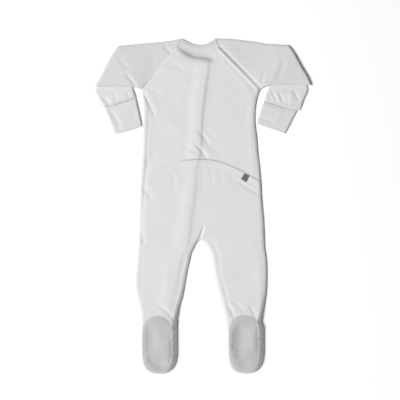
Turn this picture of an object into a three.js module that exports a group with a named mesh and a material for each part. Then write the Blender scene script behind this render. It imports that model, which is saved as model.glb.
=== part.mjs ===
import * as THREE from "three";
import { mergeVertices } from "three/addons/utils/BufferGeometryUtils.js";

// Baby sleepsuit with feet, lying flat on its front, so the back and the soles are on top.
// Millimetres, +Z up, +Y from the toes to the neck, +X to the wearer's right arm.

// Driving sizes
const WALL = 1.2; // thickness of the jersey walls
const SEAM = 0.4; // gap between two pieces at a seam
const CURVED_SEAM = 1; // the same where the seam bends
const HEEL_SEAM = 1.3; // the same round a heel
const RIM = 1.5; // height of a back panel's rim over the front panels
const CROTCH = { x: -2.7, y: -60.8 };
const NECK = { bandThick: 2.2, frontThick: 2 };
const PLACKET = { width: 20, bottom: 0.9, top: 2.9 };
const SNAP = { radius: 4.6, thick: 0.5, pitch: 58, first: 243 };
const BAND_RISE = 0.8; // the waist casing stands this much over its neighbours
const SLEEVE = { level: 4.8, lift: 4.2, roll: 4.5, fold: 6 };
const FOREARM = { hidden: 3.7, level: 5.4, roll: 4 };
const CUFF = { level: 4.8, roll: 4 };
const FOOT = { height: 15.5, floorRoll: 7, toe: 43.7, soleToe: 39.7, power: 2.6 };
const SOLE = { thick: 1.6, heel: 30, heelPower: 2.2 };
const TAG = { thick: 1, lift: 0.3, curl: 1.4 };

function table(columns, rows) {
  return rows.map((row) => Object.fromEntries(columns.map((name, i) => [name, row[i]])));
}

// Raglan seams from the neck to the armpits
const RAGLAN = table(["leftX", "leftY", "rightX", "rightY"], [
  [-42.2, 288.8, 27.3, 285.8],
  [-63.9, 265.5, 47.5, 267.3],
  [-87.9, 236.7, 74.7, 239.6],
  [-109.8, 210.2, 103.5, 210.2],
]);

// Outer edges of the body and the legs, from the armpits to the heels
const SIDE = table(["y", "left", "right"], [
  [210.2, -109.8, 103.5],
  [196, -107.8, 98.6],
  [178, -106.8, 95.8],
  [150, -106.8, 95],
  [124, -107.2, 98],
  [98, -108.4, 99.9],
  [72, -110.6, 103],
  [47, -112, 105.2],
  [12, -113.6, 107.1],
  [-31, -114.6, 110.7],
  [-75, -116, 112.5],
  [-97, -117.6, 115.6],
  [-137, -120.5, 116.2],
  [-161, -117.6, 114.3],
  [-184, -113.9, 110.4],
  [-205, -112, 107.1],
  [-222, -110.6, 108.6],
]);

// Inner edges of the legs, from the crotch to the heels
const INSEAM = table(["y", "left", "right"], [
  [-60.8, -2.7, -2.7],
  [-62, -6, 0.2],
  [-65, -9.6, 3.6],
  [-74.7, -15.3, 10],
  [-86, -20.3, 15],
  [-97, -22.9, 17.6],
  [-118, -27.6, 21.1],
  [-140, -31.6, 25.1],
  [-161, -35.6, 30.1],
  [-183, -42, 35.4],
  [-205, -45.9, 40.6],
  [-222, -45.2, 43.2],
]);

// Upper edge of the waist casing and its depth
const WAIST = table(["x", "y", "depth"], [
  [-113, 46.5, 13],
  [-98, 53.8, 14],
  [-85, 62.4, 15],
  [-71, 70, 15],
  [-54, 75.8, 15],
  [-38, 81.6, 15.3],
  [-8, 84.8, 15.3],
  [22, 83.2, 15.3],
  [44, 76.2, 15.3],
  [67, 66.4, 15.5],
  [82, 58, 16.5],
  [106, 44.5, 17.5],
]);

// Neck bands: outer and inner edge of the band from left to right
const BACK_BAND = table(["outerX", "outerY", "innerX", "innerY"], [
  [-38.2, 302.4, -44.1, 291.4],
  [-29.7, 298.6, -38.5, 285.4],
  [-20.7, 294.3, -28.5, 280.3],
  [-6.3, 291.4, -8, 275],
  [6.3, 292.9, 8.1, 275.4],
  [15.3, 297.9, 18.9, 279],
  [23.2, 302.6, 28.2, 287],
]);
const FRONT_BAND = table(["outerX", "outerY", "innerX", "innerY"], [
  [-42, 289, -46.4, 284],
  [-31, 284, -36, 276],
  [-14, 277, -18.9, 267.5],
  [6.3, 271.8, 6.3, 260.6],
  [20, 272.4, 24, 261.4],
  [28, 279.6, 37, 273.4],
]);

// Edge of the placket nearest the wearer's right side, and how far it shows through the back
const OPENING = table(["y", "x", "rise"], [
  [290, 16, 0],
  [262, 12.5, 1.5],
  [210, 5, 1.8],
  [154, -1.5, 1.8],
  [100, -4, 1.7],
  [60, -12, 1],
  [17, -15.3, 1.4],
  [-15, -19.8, 1.4],
  [-51, -24.3, 1.6],
  [-76, -30, 0.9],
  [-104, -41, 0.6],
  [-145, -51.3, 0.5],
  [-190, -61, 0.4],
  [-222, -67, 0],
]);

// Height of the back over the ground and the width of its rolled edge
const LEVEL = table(["y", "height", "roll"], [
  [305, 4.8, 4.5],
  [200, 4.9, 4.5],
  [60, 5.3, 4.5],
  [0, 6.2, 5],
  [-100, 6.4, 6],
  [-150, 7.6, 6.5],
  [-182, 11, 6.5],
  [-202, 14.8, 5],
  [-225, 15.5, 3.6],
]);

// Sleeves: shoulder edge, fold at the elbow and underarm edge of each upper arm
const SHOULDER_LEFT = table(["x", "y"], [
  [-39.6, 302.6],
  [-54.9, 299.2],
  [-76, 296.3],
  [-112, 293.2],
  [-152, 289],
]);
const ELBOW_LEFT = table(["x", "y"], [
  [-152, 289],
  [-161.5, 276],
  [-175.5, 251.5],
  [-187, 229],
  [-194.6, 215],
]);
const UNDERARM_LEFT = table(["x", "y"], [
  [-110.4, 210.6],
  [-121, 213.8],
  [-140, 215.8],
  [-165, 216],
  [-194.6, 215],
]);
const NECK_LEFT = table(["x", "y"], [
  [-39.6, 302.6],
  [-45.2, 291.8],
  [-64.5, 265.7],
  [-88.5, 236.9],
  [-110.4, 210.6],
]);
const SHOULDER_RIGHT = table(["x", "y"], [
  [24.4, 302.9],
  [56.7, 301.2],
  [94.5, 296.6],
  [115, 293.2],
  [155, 290.6],
]);
const ELBOW_RIGHT = table(["x", "y"], [
  [155, 290.6],
  [165, 277],
  [178, 253],
  [190, 233],
  [196, 218],
]);
const UNDERARM_RIGHT = table(["x", "y"], [
  [104.1, 210.6],
  [112, 215.6],
  [132, 217.8],
  [168, 219.4],
  [196, 218],
]);
const NECK_RIGHT = table(["x", "y"], [
  [24.4, 302.9],
  [29.2, 286.4],
  [48, 267.7],
  [75.2, 240],
  [104.1, 210.6],
]);

// Forearms, folded under: hidden end, inner edge, outer edge and wrist seam
const HIDDEN_LEFT = table(["x", "y"], [
  [-151, 279],
  [-169.5, 248],
  [-184, 220.5],
]);
const INNER_LEFT = table(["x", "y"], [
  [-151, 279],
  [-137.5, 246],
  [-125.3, 212],
  [-119.8, 196.4],
]);
const OUTER_LEFT = table(["x", "y"], [
  [-184, 220.5],
  [-193.8, 210],
  [-189, 197],
  [-180.5, 182.2],
]);
const WRIST_LEFT = table(["x", "y"], [
  [-119.8, 196.4],
  [-139, 189.6],
  [-160, 183.4],
  [-180.5, 182.2],
]);
const HIDDEN_RIGHT = table(["x", "y"], [
  [152, 281],
  [170, 250],
  [187, 223],
]);
const INNER_RIGHT = table(["x", "y"], [
  [152, 281],
  [135, 246],
  [117.5, 211],
  [110.2, 189.2],
]);
const OUTER_RIGHT = table(["x", "y"], [
  [187, 223],
  [189.8, 209],
  [183, 194],
  [176, 173.6],
]);
const WRIST_RIGHT = table(["x", "y"], [
  [110.2, 189.2],
  [127, 184.6],
  [150, 178],
  [176, 173.6],
]);

// Cuffs: inner edge, outer edge and open end
const CUFF_IN_LEFT = table(["x", "y"], [
  [-119.8, 195.6],
  [-116.6, 180],
  [-112.6, 163],
  [-109.2, 145.2],
]);
const CUFF_OUT_LEFT = table(["x", "y"], [
  [-178, 181.3],
  [-172.6, 166],
  [-164.5, 147],
  [-158.8, 130.6],
]);
const CUFF_END_LEFT = table(["x", "y"], [
  [-109.2, 145.2],
  [-134, 136.4],
  [-158.8, 130.6],
]);
const CUFF_TOP_LEFT = table(["x", "y"], [
  [-119.8, 195.6],
  [-139, 188.8],
  [-160, 182.6],
  [-178, 181.3],
]);
const CUFF_IN_RIGHT = table(["x", "y"], [
  [110.2, 188.4],
  [104.6, 173],
  [100.6, 160],
  [97.8, 149.4],
]);
const CUFF_OUT_RIGHT = table(["x", "y"], [
  [171.5, 173.6],
  [164.5, 162],
  [156.5, 146],
  [149, 131.4],
]);
const CUFF_END_RIGHT = table(["x", "y"], [
  [97.8, 149.4],
  [122, 140.8],
  [149, 131.4],
]);
const CUFF_TOP_RIGHT = table(["x", "y"], [
  [110.2, 188.4],
  [127, 183.8],
  [150, 177.2],
  [171.5, 173.6],
]);

// Feet: middle and half width of the foot and of its sole, the ends of the sole, the leg's ends
const FEET = table(
  ["name", "x", "half", "toeY", "soleX", "soleHalf", "heelY", "tipY", "joinLeft", "joinRight"],
  [
    ["left", -78.9, 33, -302, -80.5, 27.1, -196.4, -298.2, -219.8, -213.4],
    ["right", 77, 33.6, -301.6, 74.8, 27.1, -194.2, -296.8, -219.8, -206],
  ],
);

// Corners of the tag, from the seam's left round to the free end's left
const TAG_CORNERS = table(["x", "y"], [
  [75.2, 59.6],
  [84.4, 55],
  [77.6, 43.9],
  [68.9, 49.5],
]);

// Folds: line from start to end, rise of its crest (or depth of its valley) and its width
const FOLDS = {
  body: table(["x0", "y0", "x1", "y1", "rise", "width"], [
    [-105, 208, -90, 168, -0.9, 4],
    [-98, 212, -69, 202, -0.6, 4],
    [-69, 255, -39, 247, -0.6, 4],
    [6, 145, 33, 129, -0.6, 4],
    [89, 195, 92, 90, 0.6, 4],
    [-1, 140, 10, 116, -0.8, 3],
    [-6, 123, 7, 87, -0.9, 3],
    [-26, 109, -8, 103, -0.6, 3],
    [30, 280, 98, 214, 0.8, 5],
    [-52, 60, -48, 30, -0.7, 4],
    [-30, 64, -28, 36, -0.6, 4],
    [2, 64, 0, 36, -0.6, 4],
    [82, 34, 101, 27, -0.9, 4],
    [3, -32, -10, -62, -1.3, 3.5],
    [-113, -44, -105, -66, -0.9, 4],
    [-105, -66, -112, -82, -0.7, 4],
    [-80, -182, -62, -196, -1.8, 4],
    [-62, -196, -54, -206, -1.4, 4],
  ]),
  sleeve: table(["x0", "y0", "x1", "y1", "rise", "width"], [
    [-71, 291, -56, 278, -0.8, 4],
    [-136, 239, -120, 215, -0.8, 4],
    [-148, 269, -131, 248, -0.5, 5],
    [137, 257, 124, 229, 0.6, 6],
    [38, 281, 106, 214, -0.8, 4],
  ]),
  forearm: table(["x0", "y0", "x1", "y1", "rise", "width"], [
    [123, 213, 134, 190, -1, 3],
    [138, 206, 147, 184, -1, 3],
    [168, 212, 172, 182, -0.9, 3],
    [-160, 205, -156, 188, -0.8, 3],
    [-137, 208, -133, 194, -0.8, 3],
  ]),
  cuff: table(["x0", "y0", "x1", "y1", "rise", "width"], [
    [-165, 170, -151, 140, -0.7, 4],
    [103, 161, 125, 154, -0.7, 3.5],
  ]),
  sole: table(["x0", "y0", "x1", "y1", "rise", "width"], [
    [-98, -226, -98, -256, -4, 9],
    [-92, -272, -70, -280, -3.5, 9],
    [55, -224, 55, -258, -5, 10],
    [58, -274, 76, -282, -2.5, 9],
    [84, -222, 86, -256, 1.4, 10],
  ]),
};

// Section of a foot's side wall: share of the way in to the sole above, or over the floor roll below,
// height, and lean of the face
const SECTION = table(["inward", "z", "lean"], [
  [1, 15.5, 90],
  [0.7, 12.7, 42],
  [0.36, 8.7, 38],
  [0.1, 5.4, 28],
  [0, 3.4, 0],
  [0.12, 1.5, -35],
  [0.45, 0.35, -65],
  [1, 0, -90],
]);

// Columns and rows of a rolled edge, as shares of its width
const BEND = [0, 0.1, 0.42, 1];

const mix = (a, b, t) => a + (b - a) * t;
const clamp = (t) => Math.min(1, Math.max(0, t));
const soft = (t) => clamp(t) ** 2 * (3 - 2 * clamp(t));

// Smooth value of a column at height y, in a table whose rows go down in y
function at(rows, column, y) {
  const last = rows.length - 1;
  let i = rows.findIndex((row) => row.y < y) - 1;
  if (i < 0) i = y >= rows[0].y ? 0 : last - 1;
  const slope = (k) => {
    const above = rows[Math.max(0, k - 1)];
    const below = rows[Math.min(last, k + 1)];
    return (below[column] - above[column]) / (below.y - above.y);
  };
  const step = rows[i + 1].y - rows[i].y;
  const t = clamp((y - rows[i].y) / step);
  const a = rows[i][column];
  const b = rows[i + 1][column];
  const bump = slope(i) * step * t * (1 - t) ** 2 - slope(i + 1) * step * t * t * (1 - t);
  return mix(a, b, soft(t)) + bump;
}

// Smooth line through the points of a table, t from 0 to 1
function line(rows, xName = "x", yName = "y") {
  const points = rows.map((row) => new THREE.Vector2(row[xName], row[yName]));
  const spline = new THREE.SplineCurve(points);
  return (t) => spline.getPoint(clamp(t)).toArray();
}

// Straight stretches between the points of a table, t from 0 to 1
function straight(rows, xName = "x", yName = "y") {
  return (t) => {
    const place = clamp(t) * (rows.length - 1);
    const i = Math.min(Math.floor(place), rows.length - 2);
    return [xName, yName].map((name) => mix(rows[i][name], rows[i + 1][name], place - i));
  };
}

function chain(first, second, share) {
  return (t) => (t < share ? first(t / share) : second((t - share) / (1 - share)));
}

const backwards = (curve) => (t) => curve(1 - t);
const sample = (curve, count) => Array.from({ length: count + 1 }, (_, i) => curve(i / count));

// Patch between two sides that run down and two ends that run across
function patch(left, right, top, bottom) {
  return (s, v) => [0, 1].map((k) => {
    const sides = mix(left(v)[k], right(v)[k], s);
    const ends = mix(top(s)[k], bottom(s)[k], v);
    const corners = mix(mix(left(0)[k], right(0)[k], s), mix(left(1)[k], right(1)[k], s), v);
    return sides + ends - corners;
  });
}

// Distance to a free edge and the direction out over it; the piece lies left of the edge's run
function nearest(edges, x, y) {
  let best = { d: Infinity, nx: 0, ny: 0 };
  for (const edge of edges) {
    for (let i = 0; i + 1 < edge.length; i += 1) {
      const dx = edge[i + 1][0] - edge[i][0];
      const dy = edge[i + 1][1] - edge[i][1];
      const length = Math.hypot(dx, dy) || 1;
      const t = clamp(((x - edge[i][0]) * dx + (y - edge[i][1]) * dy) / (length * length));
      const d = Math.hypot(edge[i][0] + t * dx - x, edge[i][1] + t * dy - y);
      if (d < best.d) best = { d, nx: dy / length, ny: -dx / length };
    }
  }
  return best;
}

function relief(group, x, y) {
  let sum = 0;
  for (const fold of FOLDS[group]) {
    const dx = fold.x1 - fold.x0;
    const dy = fold.y1 - fold.y0;
    const t = clamp(((x - fold.x0) * dx + (y - fold.y0) * dy) / (dx * dx + dy * dy));
    const d = Math.hypot(fold.x0 + t * dx - x, fold.y0 + t * dy - y);
    sum += fold.rise * Math.exp(-((d / fold.width) ** 2));
  }
  return sum;
}

// Top of the back over the ground, with the placket showing through it
function backTop(x, y) {
  const off = x - at(OPENING, "x", y);
  const ridge = at(OPENING, "rise", y) * soft((off + 30) / 22) * (1 - soft((off + 1) / 4));
  return at(LEVEL, "height", y) + ridge + relief("body", x, y);
}

const backRoll = (x, y) => at(LEVEL, "roll", y);

// Points of a wall that bends down over a free edge: face on top (or below), back inside it
function bend(x, y, free, onEdge, from, to, roll) {
  const { d, nx, ny } = nearest(free, x, y);
  const share = onEdge ? 0 : clamp(d / roll);
  const out = 1 - share;
  const up = Math.sqrt(1 - out * out);
  const way = Math.sign(to - from);
  const z = mix(from, to, up);
  return {
    face: [x, y, z],
    back: [x - nx * out * WALL, y - ny * out * WALL, z - way * up * WALL],
  };
}

// Triangles gathered for one closed piece
class Skin {
  constructor() {
    this.points = [];
  }

  quad(a, b, c, d) {
    this.points.push(a, b, c, a, c, d);
  }

  // Grid of points; turned: its front looks the other way
  grid(rows, turned = false) {
    for (let i = 0; i + 1 < rows.length; i += 1) {
      for (let j = 0; j + 1 < rows[i].length; j += 1) {
        const ring = [rows[i][j], rows[i + 1][j], rows[i + 1][j + 1], rows[i][j + 1]];
        this.quad(...(turned ? ring.reverse() : ring));
      }
    }
  }

  // Rim between the edges of a face and its back, along the same run
  rim(face, back, turned = false) {
    this.grid([face, back], turned);
  }

  mesh(name, material) {
    const flat = [];
    for (let i = 0; i < this.points.length; i += 3) {
      const exact = this.points.slice(i, i + 3);
      const corners = exact.map((p) => p.map((value) => Math.round(value * 1e4) / 1e4));
      const keys = new Set(corners.map((p) => p.join()));
      if (keys.size === 3) flat.push(...corners.flat());
    }
    let geometry = new THREE.BufferGeometry();
    geometry.setAttribute("position", new THREE.Float32BufferAttribute(flat, 3));
    geometry = mergeVertices(geometry, 1e-3);
    if (volume(geometry) < 0) {
      const index = Array.from(geometry.index.array);
      for (let i = 0; i < index.length; i += 3) [index[i], index[i + 1]] = [index[i + 1], index[i]];
      geometry.setIndex(index);
    }
    geometry.computeVertexNormals();
    const mesh = new THREE.Mesh(geometry, material);
    mesh.name = name;
    return mesh;
  }
}

function volume(geometry) {
  const corner = [0, 1, 2].map(() => new THREE.Vector3());
  let sum = 0;
  for (let i = 0; i < geometry.index.count; i += 3) {
    const spots = geometry.attributes.position;
    corner.forEach((p, k) => p.fromBufferAttribute(spots, geometry.index.getX(i + k)));
    sum += corner[0].dot(corner[1].clone().cross(corner[2]));
  }
  return sum;
}

// Shares of a run of a given length, with close steps at ends that are rolled
function stations(length, roll, middle, atStart, atEnd) {
  const edge = BEND.map((share) => (share * roll) / length);
  const start = atStart ? edge : [0];
  const end = atEnd ? edge.map((share) => 1 - share).reverse() : [1];
  const a = start.at(-1);
  const b = end[0];
  const between = Array.from({ length: middle }, (_, i) => mix(a, b, (i + 1) / (middle + 1)));
  return [...start, ...between, ...end];
}

const reach = (p, q) => Math.hypot(p[0] - q[0], p[1] - q[1]);
const turn = (rows) => rows[0].map((_, j) => rows.map((row) => row[j]));

// Closed wall over one patch, its free sides rolled down to the rim
function wall(skin, spot, rows, columns, free, top, roll, open, rolled) {
  const points = rows.map((v) => {
    const shares = columns(v);
    return shares.map((s, j) => {
      const [x, y] = spot(s, v);
      const onEdge = (j === 0 && rolled.left) || (j === shares.length - 1 && rolled.right);
      return bend(x, y, free, onEdge, RIM, top(x, y), roll(x, y));
    });
  });
  const face = points.map((row) => row.map((point) => point.face));
  const back = points.map((row) => row.map((point) => point.back));
  skin.grid(face);
  skin.grid(back, true);
  closeRims(skin, face, back, open);
}

function closeRims(skin, face, back, open) {
  const faceSides = turn(face);
  const backSides = turn(back);
  if (open.top) skin.rim(face[0], back[0], true);
  if (open.bottom) skin.rim(face.at(-1), back.at(-1));
  if (open.left) skin.rim(faceSides[0], backSides[0]);
  if (open.right) skin.rim(faceSides.at(-1), backSides.at(-1), true);
}

// Flat cloth lying on the ground
function plate(skin, spot, rows, columns, open, bottom, top) {
  const lay = (z) => rows.map((v) => columns.map((s) => [...spot(s, v), z]));
  skin.grid(lay(top));
  skin.grid(lay(bottom), true);
  closeRims(skin, lay(top), lay(bottom), open);
}

// Flat tube with rolled sides: two faces that meet at mid height, open at its sewn ends
function tube(skin, spot, rows, columns, free, floor, top, roll, open) {
  const layer = (up) => rows.map((v, i) => {
    const shares = columns(v);
    return shares.map((s, j) => {
      const [x, y] = spot(s, v);
      const low = floor(s, v);
      const high = top(x, y, s, v);
      const shut = (i === 0 && !open.top) || (i === rows.length - 1 && !open.bottom);
      const onEdge = j === 0 || j === shares.length - 1 || shut;
      return bend(x, y, free, onEdge, (low + high) / 2, up ? high : low, roll);
    });
  });
  for (const up of [true, false]) {
    const points = layer(up);
    const face = points.map((row) => row.map((point) => point.face));
    const back = points.map((row) => row.map((point) => point.back));
    skin.grid(face, !up);
    skin.grid(back, up);
    if (open.top) skin.rim(face[0], back[0], up);
    if (open.bottom) skin.rim(face.at(-1), back.at(-1), !up);
  }
}

// Materials
function finish(color, roughness, metalness = 0) {
  return new THREE.MeshStandardMaterial({ color, roughness, metalness });
}

const JERSEY = finish(0xe0e0e1, 0.95);
const RIB = finish(0xdedee0, 0.95);
const SOLE_JERSEY = finish(0xcfcfd0, 0.95);
const TAG_CLOTH = finish(0x706c65, 0.9);
const STUD = finish(0xc8c9cb, 0.4, 0.8);

const group = new THREE.Group();
group.name = "baby_sleepsuit";
const add = (skin, name, material) => group.add(skin.mesh(name, material));

// Edges of the body
const raglanLeft = straight(RAGLAN, "leftX", "leftY");
const raglanRight = straight(RAGLAN, "rightX", "rightY");
const side = (name, from, to) => (t) => [at(SIDE, name, mix(from, to, t)), mix(from, to, t)];
const waistTable = WAIST.map((row) => ({ y: -row.x, top: row.y, depth: row.depth }));
const waistY = (x) => at(waistTable, "top", -x);
const waistDepth = (x) => at(waistTable, "depth", -x);
const waistLeft = { x: -112, y: waistY(-112) };
const waistRight = { x: 105.2, y: waistY(105.2) };
const armpitY = RAGLAN.at(-1).leftY;
const seatLeftY = waistLeft.y - waistDepth(-112) - SEAM;
const seatRightY = waistRight.y - waistDepth(105.2) - SEAM;

// Free edges, each run with the cloth on its left
const leftEdge = sample(side("left", armpitY, -222), 60);
const rightEdge = sample(side("right", -222, armpitY), 60);
const inseam = [
  ...sample((t) => [at(INSEAM, "left", mix(-222, CROTCH.y, t ** 0.5)), mix(-222, CROTCH.y, t ** 0.5)], 50),
  ...sample((t) => [at(INSEAM, "right", mix(CROTCH.y, -222, t ** 2)), mix(CROTCH.y, -222, t ** 2)], 50),
];
const bodyEdges = [leftEdge, rightEdge];

// Back bodice, from the neck band to the waist casing
function buildBodice() {
  const armpit = 0.4;
  const left = chain(raglanLeft, side("left", armpitY, waistLeft.y), armpit);
  const right = chain(raglanRight, side("right", armpitY, waistRight.y), armpit);
  const neck = (s) => {
    const x = mix(RAGLAN[0].leftX, RAGLAN[0].rightX, s);
    return [x, bandInner(x) - SEAM];
  };
  const waist = (s) => {
    const x = mix(waistLeft.x, waistRight.x, s);
    return [x, waistY(x)];
  };
  const upper = [0, 0.04, 0.1, 0.17, 0.24, 0.31, 0.36, 0.385];
  const lower = [0.4, 0.415, 0.44, 0.49, 0.55, 0.62, 0.69, 0.76, 0.83, 0.9, 0.95, 1];
  const columns = (v) => stations(reach(left(v), right(v)), 4.5, 17, true, true);
  const skin = new Skin();
  const open = { top: true, bottom: true, left: true, right: true };
  const spot = patch(left, right, neck, waist);
  wall(skin, spot, [...upper, ...lower], columns, bodyEdges, backTop, backRoll, open, {});
  add(skin, "back_bodice", JERSEY);
}

// Inner edge of the back neck band as a height over x
function bandInner(x) {
  const rows = BACK_BAND.map((row) => ({ y: -row.innerX, edge: row.innerY }));
  return at(rows, "edge", -x);
}

// Waist casing across the back
function buildWaistband() {
  const left = side("left", waistLeft.y - SEAM, seatLeftY + SEAM);
  const right = side("right", waistRight.y - SEAM, seatRightY + SEAM);
  const across = (drop) => (s) => {
    const x = mix(-112, 105.2, s);
    return [x, waistY(x) - SEAM - drop * (waistDepth(x) - SEAM)];
  };
  const columns = (v) => stations(reach(left(v), right(v)), 4.5, 21, true, true);
  const open = { top: true, bottom: true, left: true, right: true };
  const rolled = { left: true, right: true };
  const skin = new Skin();
  const level = (x, y) => backTop(x, y) + BAND_RISE;
  const spot = patch(left, right, across(0), across(1));
  wall(skin, spot, [0, 0.5, 1], columns, bodyEdges, level, backRoll, open, rolled);
  add(skin, "back_waistband", JERSEY);
}

// Lower end of a leg: over the heel of the sole, level at both sides of it
function legEnd(foot, x) {
  const join = x < foot.soleX ? foot.joinLeft : foot.joinRight;
  const off = Math.min(1, Math.abs(x - foot.soleX) / (foot.soleHalf + HEEL_SEAM));
  const depth = SOLE.heel + HEEL_SEAM;
  const arc = foot.heelY + HEEL_SEAM - depth * (1 - (1 - off ** SOLE.heelPower) ** (1 / SOLE.heelPower));
  return Math.max(arc, join);
}

// Sides and ends of one leg from the crotch line to the heel
function legEdges(foot) {
  const isLeft = foot.name === "left";
  const outerEnd = isLeft ? foot.joinLeft : foot.joinRight;
  const innerEnd = isLeft ? foot.joinRight : foot.joinLeft;
  const outer = side(foot.name, CROTCH.y, outerEnd);
  const inner = (t) => {
    const y = mix(CROTCH.y, innerEnd, t);
    return [at(INSEAM, foot.name, y), y];
  };
  return isLeft ? [outer, inner] : [inner, outer];
}

// Line across the front of an ankle, where the front panels end
function ankleY(foot, x) {
  const share = clamp((x - foot.x + foot.half - FOOT.floorRoll) / (2 * (foot.half - FOOT.floorRoll)));
  return mix(foot.joinLeft, foot.joinRight, share) + SEAM;
}

const CROTCH_ROWS = [0, 0.008, 0.03, 0.08, 0.15];
const LEG_ROWS = [...CROTCH_ROWS, 0.25, 0.36, 0.47, 0.58, 0.68, 0.76, 0.83, 0.88, 0.92, 0.96, 1];

// Seat and both back legs in one piece
function buildSeat() {
  const skin = new Skin();
  const free = [leftEdge, rightEdge, inseam];
  const middle = { left: 6, right: 6 };
  const seatTop = (x) => waistY(x) - waistDepth(x) - SEAM;
  for (const foot of FEET) {
    const isLeft = foot.name === "left";
    const outer = side(foot.name, isLeft ? seatLeftY : seatRightY, CROTCH.y);
    const centre = (t) => [CROTCH.x, mix(seatTop(CROTCH.x), CROTCH.y, t)];
    const [left, right] = isLeft ? [outer, centre] : [centre, outer];
    const top = (s) => {
      const x = mix(left(0)[0], right(0)[0], s);
      return [x, seatTop(x)];
    };
    const low = (s) => [mix(left(1)[0], right(1)[0], s), CROTCH.y];
    const count = middle[foot.name];
    const columns = (edges) => (v) => stations(reach(edges[0](v), edges[1](v)), 5.5, count, true, true);
    const seatRows = [0, 0.1, 0.25, 0.42, 0.6, 0.76, 0.9, 1];
    const seatOpen = { top: true, left: isLeft, right: !isLeft };
    const seatRolled = { left: isLeft, right: !isLeft };
    const seat = patch(left, right, top, low);
    wall(skin, seat, seatRows, columns([left, right]), free, backTop, backRoll, seatOpen, seatRolled);
    const leg = legEdges(foot);
    const end = (s) => {
      const x = mix(leg[0](1)[0], leg[1](1)[0], s);
      return [x, s === 0 ? leg[0](1)[1] : s === 1 ? leg[1](1)[1] : legEnd(foot, x)];
    };
    const legOpen = { bottom: true, left: true, right: true };
    const legRolled = { left: true, right: true };
    const back = patch(...leg, low, end);
    wall(skin, back, LEG_ROWS, columns(leg), free, backTop, backRoll, legOpen, legRolled);
  }
  add(skin, "back_seat", JERSEY);
}

const openingX = (y) => at(OPENING, "x", y);
const frontBandRows = FRONT_BAND.map((row) => ({ y: -row.innerX, edge: row.innerY }));
const frontNeckY = (x) => at(frontBandRows, "edge", -x) - CURVED_SEAM;
const allOpen = { top: true, bottom: true, left: true, right: true };
const even = (count) => Array.from({ length: count + 1 }, (_, i) => i / count);

// Raglan seam of the front below its neck band, and on down the side
function frontSide(name, fromShare, endY) {
  const raglan = name === "left" ? raglanLeft : raglanRight;
  const upper = (t) => raglan(mix(fromShare, 1, t));
  return chain(upper, side(name, armpitY, endY), 0.3);
}

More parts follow.
